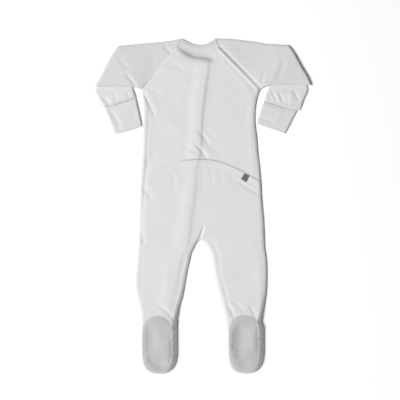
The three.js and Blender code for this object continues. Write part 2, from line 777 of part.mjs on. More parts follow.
// Front panels, flat on the ground
function buildFront() {
  const [leftFoot, rightFoot] = FEET;
  const left = frontSide("left", 0.075, leftFoot.joinLeft + SEAM);
  const neckLeftX = left(0)[0];
  const placketLeft = (y) => openingX(y) - PLACKET.width - CURVED_SEAM;
  const topLeft = { x: placketLeft(268), y: frontNeckY(placketLeft(268)) };
  const inner = (t) => {
    const y = mix(topLeft.y, ankleY(leftFoot, placketLeft(-218)), t);
    return [placketLeft(y), y];
  };
  const top = (s) => {
    const x = mix(neckLeftX, topLeft.x, s);
    return [x, mix(left(0)[1], frontNeckY(x), Math.min(1, s * 8))];
  };
  const bottom = (s) => [mix(left(1)[0], inner(1)[0], s), mix(left(1)[1], inner(1)[1], s)];
  const rows = [...even(6).map((t) => t * 0.3), ...even(18).slice(1).map((t) => mix(0.3, 1, t))];
  const leftSkin = new Skin();
  plate(leftSkin, patch(left, inner, top, bottom), rows, even(3), allOpen, 0, WALL);
  add(leftSkin, "front_left", JERSEY);

  const skin = new Skin();
  const right = frontSide("right", 0.17, CROTCH.y);
  const start = { x: openingX(262) + CURVED_SEAM, y: frontNeckY(openingX(262) + CURVED_SEAM) };
  const edge = (t) => {
    const y = mix(start.y, CROTCH.y, t);
    return [openingX(y) + CURVED_SEAM, y];
  };
  const share = (CROTCH.x - edge(1)[0]) / (right(1)[0] - edge(1)[0]);
  const middle = (t) => [0, 1].map((k) => mix(edge(t)[k], right(t)[k], share));
  const neck = (from, to) => (s) => {
    const x = mix(from[0], to[0], s);
    return [x, frontNeckY(x)];
  };
  const across = (from, to) => (s) => [mix(from[0], to[0], s), mix(from[1], to[1], s)];
  const flatMiddle = (t) => (t === 0 ? [middle(0)[0], frontNeckY(middle(0)[0])] : middle(t));
  const bodyRows = [...even(6).map((t) => t * 0.3), ...even(12).slice(1).map((t) => mix(0.3, 1, t))];
  const stripColumns = even(2);
  const legColumns = even(5);
  const noRight = { top: true, left: true };
  const noLeft = { top: true, right: true };
  const nearOpening = patch(edge, flatMiddle, neck(edge(0), flatMiddle(0)), across(edge(1), middle(1)));
  const farSide = patch(flatMiddle, right, neck(flatMiddle(0), right(0)), across(middle(1), right(1)));
  plate(skin, nearOpening, bodyRows, stripColumns, noRight, 0, WALL);
  plate(skin, farSide, bodyRows, legColumns, noLeft, 0, WALL);

  const [, inseamLeft] = legEdges(leftFoot);
  const strip = (t) => {
    const y = mix(CROTCH.y, ankleY(leftFoot, openingX(-215)), t);
    return [openingX(y) + CURVED_SEAM, y];
  };
  const ankle = (foot, from, to) => (s) => {
    const x = mix(from[0], to[0], s);
    const corner = (s < 0.5 ? from[1] : to[1]) + SEAM;
    return [x, mix(ankleY(foot, x), corner, Math.abs(2 * s - 1) ** 8)];
  };
  const legOpen = { bottom: true, left: true, right: true };
  const stripTop = across(strip(0), inseamLeft(0));
  const innerStrip = patch(strip, inseamLeft, stripTop, ankle(leftFoot, strip(1), inseamLeft(1)));
  plate(skin, innerStrip, LEG_ROWS, stripColumns, legOpen, 0, WALL);
  const [inseamRight, outerRight] = legEdges(rightFoot);
  const legTop = across(inseamRight(0), outerRight(0));
  const legEnd = ankle(rightFoot, inseamRight(1), outerRight(1));
  const rightLeg = patch(inseamRight, outerRight, legTop, legEnd);
  plate(skin, rightLeg, LEG_ROWS, legColumns, legOpen, 0, WALL);
  add(skin, "front_right", JERSEY);

  const placket = new Skin();
  const strips = [openingX, placketLeft].map((edgeX, k) => (t) => {
    const y = mix(k ? topLeft.y : start.y, ankleY(leftFoot, edgeX(-217)), t);
    return [edgeX(y) + (k ? CURVED_SEAM : 0), y];
  });
  const [placketTop, placketEnd] = [0, 1].map((k) => across(strips[1](k), strips[0](k)));
  const placketPatch = patch(strips[1], strips[0], placketTop, placketEnd);
  plate(placket, placketPatch, even(30), even(1), allOpen, PLACKET.bottom, PLACKET.top);
  add(placket, "placket", JERSEY);
}

// Press studs set flush with the underside of the placket
function buildSnaps() {
  for (let i = 0; i < 8; i += 1) {
    const y = SNAP.first - SNAP.pitch * i;
    const cap = new THREE.CylinderGeometry(SNAP.radius, SNAP.radius, SNAP.thick, 20);
    cap.rotateX(Math.PI / 2);
    cap.translate(openingX(y) - PLACKET.width / 2, y, SNAP.thick / 2);
    const mesh = new THREE.Mesh(cap, STUD);
    mesh.name = `snap_${i + 1}`;
    group.add(mesh);
  }
}

// Band with rounded edges between two lines
function buildBand(name, rows, middleZ, thick) {
  const outer = line(rows, "outerX", "outerY");
  const inner = line(rows, "innerX", "innerY");
  const half = [[0, 0], [0.06, 0.7], [0.18, 1], [0.82, 1], [0.94, 0.7], [1, 0]];
  const under = half.slice(1, 5).reverse().map(([share, up]) => [share, -up]);
  const section = (t) => [...half, ...under].map(([share, up]) => {
    const place = [0, 1].map((k) => mix(outer(t)[k], inner(t)[k], share));
    return [...place, middleZ + (up * thick) / 2];
  });
  const sections = even(20).map(section);
  const skin = new Skin();
  skin.grid(sections.map((points) => [...points, points[0]]));
  for (const [points, turned] of [[sections[0], true], [sections.at(-1), false]]) {
    for (let i = 0; i < 5; i += 1) {
      const cap = [points[i], points[i + 1], points[9 - i], points[(10 - i) % 10]];
      skin.quad(...(turned ? cap : cap.reverse()));
    }
  }
  add(skin, name, RIB);
}

// Upper arm: it lies on the forearm and rolls down over the fold
function buildSleeve(name, neck, shoulder, elbow, underarm) {
  const isLeft = name === "left";
  const [inner, a, fold, b] = [straight(neck), line(shoulder), line(elbow), line(underarm)];
  const spot = patch(a, b, inner, fold);
  const cover = (s, v) => soft((v - (0.95 - 0.9 * (s - 0.15)) + 0.2) / 0.17);
  const length = (s) => reach(spot(s, 0), spot(s, 1));
  const width = (v) => reach(spot(0, v), spot(1, v));
  const near = (s, v) => soft(((1 - v) * length(s)) / SLEEVE.fold) * soft((s * width(v)) / 8);
  const lift = (s, v) => SLEEVE.lift * cover(s, v);
  const floor = (s, v) => lift(s, v) * near(s, v);
  const top = (x, y, s, v) => SLEEVE.level + lift(s, v) + relief("sleeve", x, y);
  const rows = stations(130, SLEEVE.roll, 9, false, true);
  const columns = (v) => stations(width(v), SLEEVE.roll, 4, true, true);
  const run = [sample(a, 20), sample(fold, 20), sample(backwards(b), 20)].flat();
  const free = [isLeft ? run : run.reverse()];
  const skin = new Skin();
  tube(skin, spot, rows, columns, free, floor, top, SLEEVE.roll, { top: true });
  add(skin, `sleeve_${name}`, JERSEY);
}

// Forearm: shut where the fold hides it, open at the wrist
function buildForearm(name, hidden, inner, outer, wrist) {
  const [end, a, b, seam] = [line(hidden), line(inner), line(outer), line(wrist)];
  const spot = patch(a, b, end, seam);
  const shown = (x, y) => FOREARM.level + relief("forearm", x, y);
  const top = (x, y) => mix(FOREARM.hidden, shown(x, y), soft((213 - y) / 14));
  const columns = (v) => stations(reach(spot(0, v), spot(1, v)), FOREARM.roll, 4, true, true);
  const rows = stations(70, FOREARM.roll, 6, true, false);
  const run = [sample(backwards(b), 20), sample(end, 20).reverse(), sample(a, 20)].flat();
  const forward = [sample(a, 20).reverse(), sample(end, 20), sample(b, 20)].flat();
  const skin = new Skin();
  const free = [name === "left" ? forward : run];
  tube(skin, spot, rows, columns, free, () => 0, top, FOREARM.roll, { bottom: true });
  add(skin, `forearm_${name}`, JERSEY);
}

// Cuff: short tube, open at both ends
function buildCuff(name, head, inner, outer, hem) {
  const [start, a, b, end] = [line(head), line(inner), line(outer), line(hem)];
  const spot = patch(a, b, start, end);
  const top = (x, y) => CUFF.level + relief("cuff", x, y);
  const columns = (v) => stations(reach(spot(0, v), spot(1, v)), CUFF.roll, 3, true, true);
  const sides = [sample(a, 16), sample(b, 16)];
  const free = name === "left" ? [sides[0].reverse(), sides[1]] : [sides[0], sides[1].reverse()];
  const skin = new Skin();
  tube(skin, spot, even(5), columns, free, () => 0, top, CUFF.roll, { top: true, bottom: true });
  add(skin, `cuff_${name}`, RIB);
}

// Half width of a sole at height y
function soleHalf(foot, y) {
  const heelY = foot.heelY - SOLE.heel;
  const toeY = foot.tipY + FOOT.soleToe;
  const isHeel = y > heelY;
  const reachY = isHeel ? (y - heelY) / SOLE.heel : Math.max(0, (toeY - y) / FOOT.soleToe);
  const power = isHeel ? SOLE.heelPower : FOOT.power;
  return foot.soleHalf * Math.max(0, 1 - reachY ** power) ** (1 / power);
}

// Point of a rounded toe, angle from 0 on the left side to half a turn on the right
function toePoint(x, half, y, depth, angle) {
  const squeeze = (value) => Math.sign(value) * Math.abs(value) ** (2 / FOOT.power);
  return [x - half * squeeze(Math.cos(angle)), y - depth * squeeze(Math.sin(angle))];
}

// Upper of a foot: side wall round the sole and a flat front on the ground
function buildFoot(foot) {
  const toeY = foot.toeY + FOOT.toe;
  const soleToeY = foot.tipY + FOOT.soleToe;
  const path = [];
  for (const t of even(6).slice(0, 6)) {
    const y = mix(foot.joinLeft - SEAM, toeY, t);
    path.push({ outer: [foot.x - foot.half, y], sole: [foot.soleX - soleHalf(foot, y) - SEAM, y] });
  }
  for (const t of even(16)) {
    const angle = Math.PI * t;
    const sole = toePoint(foot.soleX, foot.soleHalf + SEAM, soleToeY, FOOT.soleToe + SEAM, angle);
    path.push({ outer: toePoint(foot.x, foot.half, toeY, FOOT.toe, angle), sole });
  }
  for (const t of even(7).slice(1)) {
    const y = mix(toeY, foot.joinRight - SEAM, t);
    path.push({ outer: [foot.x + foot.half, y], sole: [foot.soleX + soleHalf(foot, y) + SEAM, y] });
  }
  const sections = path.map(({ outer, sole }, i) => {
    const before = path[Math.max(0, i - 1)].outer;
    const after = path[Math.min(path.length - 1, i + 1)].outer;
    const run = reach(before, after);
    const normal = [(after[1] - before[1]) / run, (before[0] - after[0]) / run];
    return SECTION.map(({ inward, z, lean }) => {
      const out = Math.cos((lean * Math.PI) / 180);
      const up = Math.sin((lean * Math.PI) / 180);
      const inset = [0, 1].map((k) => (up > 0 ? sole[k] - outer[k] : -normal[k] * FOOT.floorRoll));
      const face = [outer[0] + inset[0] * inward, outer[1] + inset[1] * inward, z];
      const back = [face[0] - normal[0] * out * WALL, face[1] - normal[1] * out * WALL, z - up * WALL];
      return { face, back };
    });
  });
  const face = sections.map((section) => section.map((point) => point.face));
  const back = sections.map((section) => section.map((point) => point.back));
  const skin = new Skin();
  skin.grid(face);
  skin.grid(back, true);
  const faceSides = turn(face);
  const backSides = turn(back);
  skin.rim(faceSides[0], backSides[0]);
  skin.rim(face[0], back[0], true);
  skin.rim(face.at(-1), back.at(-1));
  const floorFace = faceSides.at(-1);
  const floorBack = backSides.at(-1);
  const outline = floorFace.map((p) => new THREE.Vector2(p[0], p[1]));
  for (const [a, b, c] of THREE.ShapeUtils.triangulateShape(outline, [])) {
    skin.points.push(floorFace[a], floorFace[b], floorFace[c]);
    skin.points.push(floorBack[a], floorBack[c], floorBack[b]);
  }
  skin.quad(floorFace[0], floorFace.at(-1), floorBack.at(-1), floorBack[0]);
  add(skin, `foot_${foot.name}`, JERSEY);
}

// Sole: thin sunk sheet with a rounded heel and toe
function buildSole(foot) {
  const heelY = foot.heelY - SOLE.heel;
  const toeY = foot.tipY + FOOT.soleToe;
  const squeeze = (value) => Math.sign(value) * Math.abs(value) ** (2 / SOLE.heelPower);
  const outline = [];
  for (const t of even(12).slice(0, 12)) {
    const angle = Math.PI * t;
    const x = foot.soleX + foot.soleHalf * squeeze(Math.cos(angle));
    outline.push([x, heelY + SOLE.heel * squeeze(Math.sin(angle))]);
  }
  for (const t of [0, 0.5]) outline.push([foot.soleX - foot.soleHalf, mix(heelY, toeY, t)]);
  for (const t of even(14).slice(0, 14)) {
    outline.push(toePoint(foot.soleX, foot.soleHalf, toeY, FOOT.soleToe, Math.PI * t));
  }
  for (const t of [0, 0.5]) outline.push([foot.soleX + foot.soleHalf, mix(toeY, heelY, t)]);
  const centre = [foot.soleX, (foot.heelY + foot.tipY) / 2];
  const crown = (ring) => FOOT.height + 0.8 * (1 - ring ** 4);
  const height = (x, y, ring) => crown(ring) + relief("sole", x, y) * (1 - ring ** 6);
  const rings = [1, 0.9, 0.72, 0.5, 0.26].map((ring) => outline.map((point) => {
    const [x, y] = [0, 1].map((k) => mix(centre[k], point[k], ring));
    return [x, y, height(x, y, ring)];
  }));
  const skin = new Skin();
  const closed = (ring) => [...ring, ring[0]];
  const lower = (ring) => ring.map(([x, y, z]) => [x, y, z - SOLE.thick]);
  skin.grid(rings.map(closed), true);
  skin.grid(rings.map((ring) => closed(lower(ring))));
  skin.rim(closed(rings[0]), closed(lower(rings[0])));
  const pole = [...centre, height(...centre, 0)];
  const poleLow = [pole[0], pole[1], pole[2] - SOLE.thick];
  const core = closed(rings.at(-1));
  const coreLow = lower(core);
  for (let i = 0; i + 1 < core.length; i += 1) {
    skin.points.push(core[i], core[i + 1], pole);
    skin.points.push(coreLow[i + 1], coreLow[i], poleLow);
  }
  add(skin, `sole_${foot.name}`, SOLE_JERSEY);
}

// Small tag, sewn into the waist seam and lying on the casing
function buildTag() {
  const [a, b, c, d] = TAG_CORNERS.map((row) => [row.x, row.y]);
  const spot = (s, v) => [0, 1].map((k) => mix(mix(a[k], b[k], s), mix(d[k], c[k], s), v));
  const rows = [0, 0.2, 0.45, 0.7, 0.88, 1];
  const columns = even(4);
  const lay = (share) => rows.map((v) => columns.map((s) => {
    const [x, y] = spot(s, v);
    const narrow = v === 1 ? 0.5 : share;
    return [x, y, backTop(x, y) + BAND_RISE + TAG.lift + TAG.curl * v ** 2 + TAG.thick * narrow];
  }));
  const skin = new Skin();
  skin.grid(lay(1));
  skin.grid(lay(0), true);
  closeRims(skin, lay(1), lay(0), { top: true, left: true, right: true });
  add(skin, "label", TAG_CLOTH);
}

buildBodice();
buildWaistband();
buildSeat();
buildFront();
buildSnaps();
buildBand("neckband_back", BACK_BAND, LEVEL[0].height - NECK.bandThick / 2 + 0.4, NECK.bandThick);
buildBand("neckband_front", FRONT_BAND, NECK.frontThick / 2, NECK.frontThick);
buildSleeve("left", NECK_LEFT, SHOULDER_LEFT, ELBOW_LEFT, UNDERARM_LEFT);
buildSleeve("right", NECK_RIGHT, SHOULDER_RIGHT, ELBOW_RIGHT, UNDERARM_RIGHT);
buildForearm("left", HIDDEN_LEFT, INNER_LEFT, OUTER_LEFT, WRIST_LEFT);
buildForearm("right", HIDDEN_RIGHT, INNER_RIGHT, OUTER_RIGHT, WRIST_RIGHT);
buildCuff("left", CUFF_TOP_LEFT, CUFF_IN_LEFT, CUFF_OUT_LEFT, CUFF_END_LEFT);
buildCuff("right", CUFF_TOP_RIGHT, CUFF_IN_RIGHT, CUFF_OUT_RIGHT, CUFF_END_RIGHT);
for (const foot of FEET) {
  buildFoot(foot);
  buildSole(foot);
}
buildTag();

// The origin is the middle of the underside
const bounds = new THREE.Box3().setFromObject(group);
const centre = bounds.getCenter(new THREE.Vector3());
group.position.set(-centre.x, -centre.y, -bounds.min.z);

export default group;
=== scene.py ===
"""Footed baby sleepsuit lying flat on its front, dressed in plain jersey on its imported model."""

import logging
import math
from collections.abc import Callable, Sequence
from dataclasses import dataclass
from enum import Enum

import bmesh
import bpy
import numpy as np
from mathutils import Matrix, Vector


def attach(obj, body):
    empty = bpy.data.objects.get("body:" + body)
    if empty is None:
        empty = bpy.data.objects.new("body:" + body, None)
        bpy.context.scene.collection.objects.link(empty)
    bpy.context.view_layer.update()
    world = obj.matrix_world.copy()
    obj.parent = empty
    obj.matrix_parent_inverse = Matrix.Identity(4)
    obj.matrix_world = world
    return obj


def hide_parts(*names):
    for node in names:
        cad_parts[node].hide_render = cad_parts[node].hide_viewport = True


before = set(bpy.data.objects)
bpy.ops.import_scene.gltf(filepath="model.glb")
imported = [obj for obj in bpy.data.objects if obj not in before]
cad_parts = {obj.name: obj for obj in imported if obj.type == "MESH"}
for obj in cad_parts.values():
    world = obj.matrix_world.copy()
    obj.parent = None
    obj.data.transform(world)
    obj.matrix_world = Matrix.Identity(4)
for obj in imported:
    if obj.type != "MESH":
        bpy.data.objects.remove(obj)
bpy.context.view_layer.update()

logging.basicConfig(level=logging.INFO, format="%(message)s")
LOG = logging.getLogger("sleepsuit")

Array = np.ndarray
Curve = Callable[[Array], Array]
Spot = Callable[[Array, Array], Array]
Height = Callable[..., Array]  # from points, the shares s and v and, where it is asked for, the sides' flags

# Lengths are in millimetres up to the moment that a mesh is made
MM = 0.001
SHIFT = np.array([-0.7388, -0.4500])  # from the pattern's middle to the frame's origin
SHELL = 1.1  # thickness of the jersey
RIM = 1.5  # height of the back's lower edge all round
SEAM = 0.03  # gap between panels that are sewn together
HEEL_SEAM = 0.05  # gap between the leg and the sole
CROTCH = (-2.7, -60.8)
WAIST_ENDS = (-112, 105.2)  # where the casing meets the sides
ARMPIT_Y = 210.2
ANKLE_END = -222  # lower end of the leg's edges
HEEL_MIDDLES = (-80, 76)  # about the middles of the heels, across
HEEL_ROLL, HEEL_ROLL_TOP, HEEL_ROLL_RUN = 5.5, -188, 20  # widening of the rolled edge, its top and its run
CELL = 1.7  # size of a mesh cell on a panel
SLANT = 0.35  # how far a rolled edge is from a quarter round towards a straight slope


class Side(Enum):
    """The wearer's two sides."""

    LEFT = "left"
    RIGHT = "right"


@dataclass(frozen=True)
class Profile:
    """Columns of values over the height y, smooth between the rows.

    Args:
        columns: Names of the columns after y.
        rows: Rows of y and values, y going down.
    """

    columns: tuple[str, ...]
    rows: tuple[tuple[float, ...], ...]

    def at(self, column: str, y: Array | float) -> Array:
        """Value of a column at height y.

        Args:
            column: Name of the column.
            y: Heights in millimetres.

        Returns:
            The values, cubic between rows and level beyond the ends.
        """
        heights = np.array([row[0] for row in self.rows])
        values = np.array([row[1 + self.columns.index(column)] for row in self.rows])
        last = len(values) - 1
        below = np.minimum(np.arange(last + 1) + 1, last)
        above = np.maximum(np.arange(last + 1) - 1, 0)
        slopes = (values[below] - values[above]) / (heights[below] - heights[above])
        y = np.asarray(y, float)
        i = np.clip(np.searchsorted(-heights, -y, side="right") - 1, 0, last - 1)
        step = heights[i + 1] - heights[i]
        t = np.clip((y - heights[i]) / step, 0, 1)
        blend = t * t * (3 - 2 * t)
        bump = slopes[i] * step * t * (1 - t) ** 2 - slopes[i + 1] * step * t * t * (1 - t)
        return values[i] * (1 - blend) + values[i + 1] * blend + bump


# Outer edges of the body and legs
SIDES = Profile(("left", "right"), (
    (210.2, -109.8, 103.5), (196, -107.8, 98.6), (178, -106.8, 95.8), (150, -106.8, 95),
    (124, -107.2, 98), (98, -108.4, 99.9), (72, -110.6, 103), (47, -112, 105.2),
    (12, -113.6, 107.1), (-31, -114.6, 110.7), (-75, -116, 112.5), (-97, -117.6, 115.6),
    (-137, -120.5, 116.2), (-161, -117.6, 114.3), (-184, -113.9, 110.4),
    (-205, -112, 107.1), (-222, -110.6, 108.6),
))

# Inner edges of the legs
INSEAM = Profile(("left", "right"), (
    (-60.8, -2.7, -2.7), (-62, -6, 0.2), (-65, -9.6, 3.6), (-74.7, -15.3, 10),
    (-86, -20.3, 15), (-97, -22.9, 17.6), (-118, -27.6, 21.1), (-140, -31.6, 25.1),
    (-161, -35.6, 30.1), (-183, -42, 35.4), (-205, -45.9, 40.6), (-222, -45.2, 43.2),
))

# Waist casing over minus x: height of its upper edge and its depth
WAIST = Profile(("top", "depth"), (
    (113, 46.5, 13), (98, 53.8, 14), (85, 62.4, 15), (71, 70, 15), (54, 75.8, 15),
    (38, 81.6, 15.3), (8, 84.8, 15.3), (-22, 83.2, 15.3), (-44, 76.2, 15.3),
    (-67, 66.4, 15.5), (-82, 58, 16.5), (-106, 44.5, 17.5),
))

# Edge of the placket, how far it stands out through the back and how wide its slope is
OPENING = Profile(("x", "rise", "slope"), (
    (290, 16, 0, 9), (262, 12.5, 1.4, 9), (210, 5, 2.1, 8), (154, -1.5, 2.2, 8),
    (100, -4, 1.9, 8), (60, -12, 1.1, 10), (17, -15.3, 1.7, 11), (-15, -19.8, 1.7, 11),
    (-51, -24.3, 1.6, 11), (-76, -30, 0.9, 11), (-104, -41, 0.6, 10), (-145, -51.3, 0.5, 10),
    (-190, -61, 0.4, 9), (-222, -67, 0, 9),
))

# Height of the back over the ground and width of its rolled edges
LEVEL = Profile(("height", "roll"), (
    (305, 4.8, 4.5), (200, 4.9, 4.5), (60, 5.3, 4.5), (0, 6.2, 5), (-100, 6.4, 6),
    (-150, 7.6, 6.5), (-182, 11, 6.5), (-202, 14.8, 5), (-225, 15.5, 3.6),
))

RAGLAN = {
    Side.LEFT: ((-44.2, 291.1), (-63.9, 265.5), (-87.9, 236.7), (-109.8, 210.2)),
    Side.RIGHT: ((28.2, 286.8), (47.5, 267.3), (74.7, 239.6), (103.5, 210.2)),
}


@dataclass(frozen=True)
class Fold:
    """A crease or ridge of the cloth that fades out at both ends.

    Args:
        x0: Start of the line.
        y0: Start of the line.
        x1: End of the line.
        y1: End of the line.
        rise: Height of the crest, below nought for a valley.
        width: Half width of the fold.
        bow: How far its middle stands off the straight line, to its left.
    """

    x0: float
    y0: float
    x1: float
    y1: float
    rise: float
    width: float
    bow: float = 0

    def lift(self, at: Array) -> Array:
        """Height that the fold adds at some points.

        Args:
            at: Points of the pattern, one row each.

        Returns:
            The heights.
        """
        start, run = np.array([self.x0, self.y0]), np.array([self.x1 - self.x0, self.y1 - self.y0])
        length = math.hypot(*run)
        t = (at - start) @ run / length**2
        aside = (at - start) @ np.array([-run[1], run[0]]) / length - 4 * self.bow * t * (1 - t)
        fade = soft(t / 0.5 + 0.4) * soft((1 - t) / 0.5 + 0.4)
        width = self.width * mix(0.6, 1, fade)
        return self.rise * fade * np.exp(-((aside / width) ** 2))


def folds(*rows: tuple[float, ...]) -> tuple[Fold, ...]:
    """Folds from rows of x0, y0, x1, y1, rise, width and, where the fold isn't straight, bow."""
    return tuple(Fold(*row) for row in rows)


BODY_FOLDS = folds(
    # Armpit and shoulder on the wearer's left
    (-106, 203, -86, 162, -1.8, 2.2, 1), (-99, 206, -78, 170, 0.4, 4, 1), (-100, 211, -73, 201, -0.9, 3, 1),
    (-65, 254, -36, 249, -1, 4, 2), (-58, 240, -30, 246, -0.4, 5), (-86, 146, -68, 132, -0.5, 5),
    # Sides of the bodice
    (-112, 160, -110, 40, 0.4, 3), (87, 195, 92, 60, 0.6, 5, -2), (72, 225, 92, 190, 0.5, 6),
    (-99, 88, -96, 66, -0.9, 5), (-90, 92, -84, 70, -0.4, 5),
    # Soft waves of the left half and beside the placket
    (-96, 236, -60, 228, -0.35, 6), (-70, 196, -40, 176, -0.35, 7), (-44, 240, -24, 218, 0.4, 7),
    (-30, 206, -26, 176, -0.4, 6), (-60, 150, -34, 132, 0.4, 8), (40, 230, 66, 214, -0.3, 7),
    (24, 196, 54, 176, 0.35, 8), (-28, 160, -20, 136, -0.5, 7),
    # Middle of the back over the casing
    (-6, 136, 12, 110, -1.5, 3, 1), (-12, 112, 8, 86, -1.9, 3, 1), (0, 108, 16, 90, 0.4, 4, 1),
    (-36, 106, -8, 96, -1.1, 3.4, 2), (-30, 98, -4, 86, 0.4, 3, 2), (2, 140, 26, 120, -0.4, 4, 2),
    (-40, 96, -20, 88, -0.5, 4), (16, 112, 30, 92, -0.5, 5),
    # Gathers under the casing
    (-112, 40, -92, 12, -1.4, 4.5, 2), (-100, 36, -84, 20, -0.4, 4), (-54, 60, -50, 26, -0.5, 4, 1),
    (-45, 58, -43, 28, 0.3, 5), (-33, 62, -30, 32, -0.35, 4), (-18, 68, -16, 40, 0.3, 4),
    (2, 62, 0, 32, -0.35, 4), (14, 64, 18, 34, -0.4, 4, 1), (30, 64, 36, 40, -0.4, 4),
    (62, 47, 104, 22, -0.9, 3.4, -2), (70, 36, 106, 14, 0.4, 5, -2), (50, 52, 66, 40, -0.4, 4),
    # Crotch and hips
    (2, -36, -10, -68, -2.4, 2.4, 1), (8, -34, -4, -62, 0.4, 5, 1), (-111, -40, -106, -66, -0.7, 3.4, -1),
    (-104, -58, -112, -84, -1, 3.4, -1), (100, -60, 108, -100, -0.5, 5),
    # Legs and ankles
    (-84, -174, -50, -204, -1.1, 4, 2), (-100, -184, -84, -204, 0.3, 6), (46, -176, 58, -204, -1.4, 3, 1),
    (52, -170, 74, -190, -1, 3.4, 2), (70, -182, 66, -196, 0.5, 3.4), (84, -178, 96, -204, -1.1, 3.6, 2),
    (60, -186, 52, -206, 0.5, 3), (-63, -90, -66, -170, 0.5, 8), (100, -90, 104, -180, 0.5, 5),
    (-90, -110, -60, -104, -0.3, 5), (60, -120, 96, -128, -0.35, 6),
)
SLEEVE_FOLDS = folds(
    (-70, 292, -54, 274, -1.6, 3, -1), (-138, 238, -119, 213, -2, 3, 1), (-130, 236, -114, 214, 0.3, 5, 1),
    (-150, 268, -132, 246, -1, 4, -1), (-190, 222.3, -134, 221.5, -0.6, 1.3),
    (-193, 217.8, -130, 217, -0.5, 1.2),
    (-96, 276, -84, 250, -0.4, 6), (139, 262, 122, 224, 0.8, 6, 2), (146, 266, 132, 228, -0.9, 5, 2),
    (104, 220, 112, 240, -1.4, 3), (108, 224.3, 183, 225, -1.2, 2.4), (60, 288, 92, 272, -0.4, 6),
    (150, 246, 176, 236, -0.4, 6),
)
FOREARM_FOLDS = folds(
    (120, 214, 133, 190, -1.9, 2.6, 1), (135, 210, 145, 187, -1.6, 2.4, 1), (128, 212, 139, 190, 0.5, 3, 1),
    (165, 213, 174, 190, -1.8, 2.6, -1), (158, 214, 160, 182, 1, 4), (114, 209, 126, 190, -1.3, 2.2),
    (-182, 198, -166, 182, -1.6, 4, 1), (-160, 208, -155, 188, -0.7, 3), (-137, 210, -132, 194, -0.7, 3),
    (-176, 210, -160, 204, -0.6, 4),
)
CUFF_FOLDS = folds(
    (-168, 176, -148, 140, -1.3, 4, 1), (-128, 182, -122, 150, -0.4, 5), (100, 161, 130, 153, -1.2, 2.8, -1),
    (104, 168, 128, 163, 0.4, 3), (142, 178, 130, 144, 0.5, 5),
)
SOLE_FOLDS = folds(
    (-96, -214, -92, -262, -2.6, 12, 2), (-97, -272, -66, -284, -2.6, 9, -2), (-66, -236, -62, -276, 0.8, 10),
    (-84, -222, -76, -250, 0.7, 8), (68, -214, 65, -264, -5.6, 14, 2), (62, -262, 84, -286, -2, 9, -3),
    (90, -216, 92, -262, 1.5, 9),
)


def mix(a: Array | float, b: Array | float, t: Array | float) -> Array:
    """Value between a and b at share t."""
    return a + (b - a) * t


def soft(t: Array | float) -> Array:
    """Smooth step from nought to one."""
    t = np.clip(t, 0, 1)
    return t * t * (3 - 2 * t)


def shares_of(t: Array | Sequence[float]) -> Array:
    """Shares of a run as an array, for one share or many."""
    return np.atleast_1d(np.asarray(t, float))


def raised(items: Sequence["Fold | Groove"], at: Array) -> Array:
    """Height that some folds or lines add together at some points."""
    return sum(item.lift(at) for item in items)


def spline(points: Sequence[Sequence[float]]) -> Curve:
    """Smooth line through points.

    Args:
        points: Points that the line meets, evenly spaced in its parameter.

    Returns:
        A function from shares of the run to points.
    """
    nodes = np.array(points, float)

    def curve(t: Array) -> Array:
        """Points of the line at shares t.

        Args:
            t: Shares of the run.

        Returns:
            The points.
        """
        place = np.clip(shares_of(t), 0, 1) * (len(nodes) - 1)
        i = np.minimum(place.astype(int), len(nodes) - 2)
        w = (place - i)[:, None]
        a, b = nodes[np.maximum(i - 1, 0)], nodes[i]
        c, d = nodes[i + 1], nodes[np.minimum(i + 2, len(nodes) - 1)]
        u, v = (c - a) / 2, (d - b) / 2
        return (2 * b - 2 * c + u + v) * w**3 + (-3 * b + 3 * c - 2 * u - v) * w**2 + u * w + b

    return curve


def straight(points: Sequence[Sequence[float]]) -> Curve:
    """Line of straight stretches between points, each with the same share of the run.

    Args:
        points: Points of the line.

    Returns:
        The line.
    """
    nodes = np.array(points, float)
    marks = np.linspace(0, 1, len(nodes))

    def curve(t: Array) -> Array:
        """Points of the line at shares t."""
        t = shares_of(t)
        return np.stack([np.interp(t, marks, nodes[:, k]) for k in (0, 1)], axis=1)

    return curve


def chain(first: Curve, second: Curve, share: float) -> Curve:
    """Two lines run one after the other, the first up to the given share.

    Args:
        first: Line of the first stretch.
        second: Line of the second stretch.
        share: Share of the run that the first one takes.

    Returns:
        The joined line.
    """

    def curve(t: Array) -> Array:
        """Points of the joined line at shares t."""
        t = shares_of(t)
        return np.where((t < share)[:, None], first(t / share), second((t - share) / (1 - share)))

    return curve


def backwards(curve: Curve) -> Curve:
    """The same line run from its end."""
    return lambda t: curve(1 - shares_of(t))


def down(profile: Profile, column: str, start: float, end: float) -> Curve:
    """Edge given by a profile's column, from one height to another.

    Args:
        profile: Profile that holds the edge.
        column: Its column.
        start: Height at which the edge starts.
        end: Height at which it ends.

    Returns:
        The edge.
    """

    def curve(t: Array) -> Array:
        """Points of the edge at shares t."""
        y = mix(start, end, shares_of(t))
        return np.stack([profile.at(column, y), y], axis=1)

    return curve


def across(start: Array, end: Array, height: Callable[[Array], Array] | None = None) -> Curve:
    """Line between two points, or over their span at a height given by x.

    Args:
        start: Start of the line.
        end: End of the line.
        height: Height at x, or nothing for a straight line.

    Returns:
        The line.
    """

    def curve(t: Array) -> Array:
        """Points of the line at shares t.

        Args:
            t: Shares of the run.

        Returns:
            The points.
        """
        points = mix(np.asarray(start, float), np.asarray(end, float), np.atleast_1d(t)[:, None])
        if height is not None:
            points[:, 1] = height(points[:, 0])
        return points

    return curve


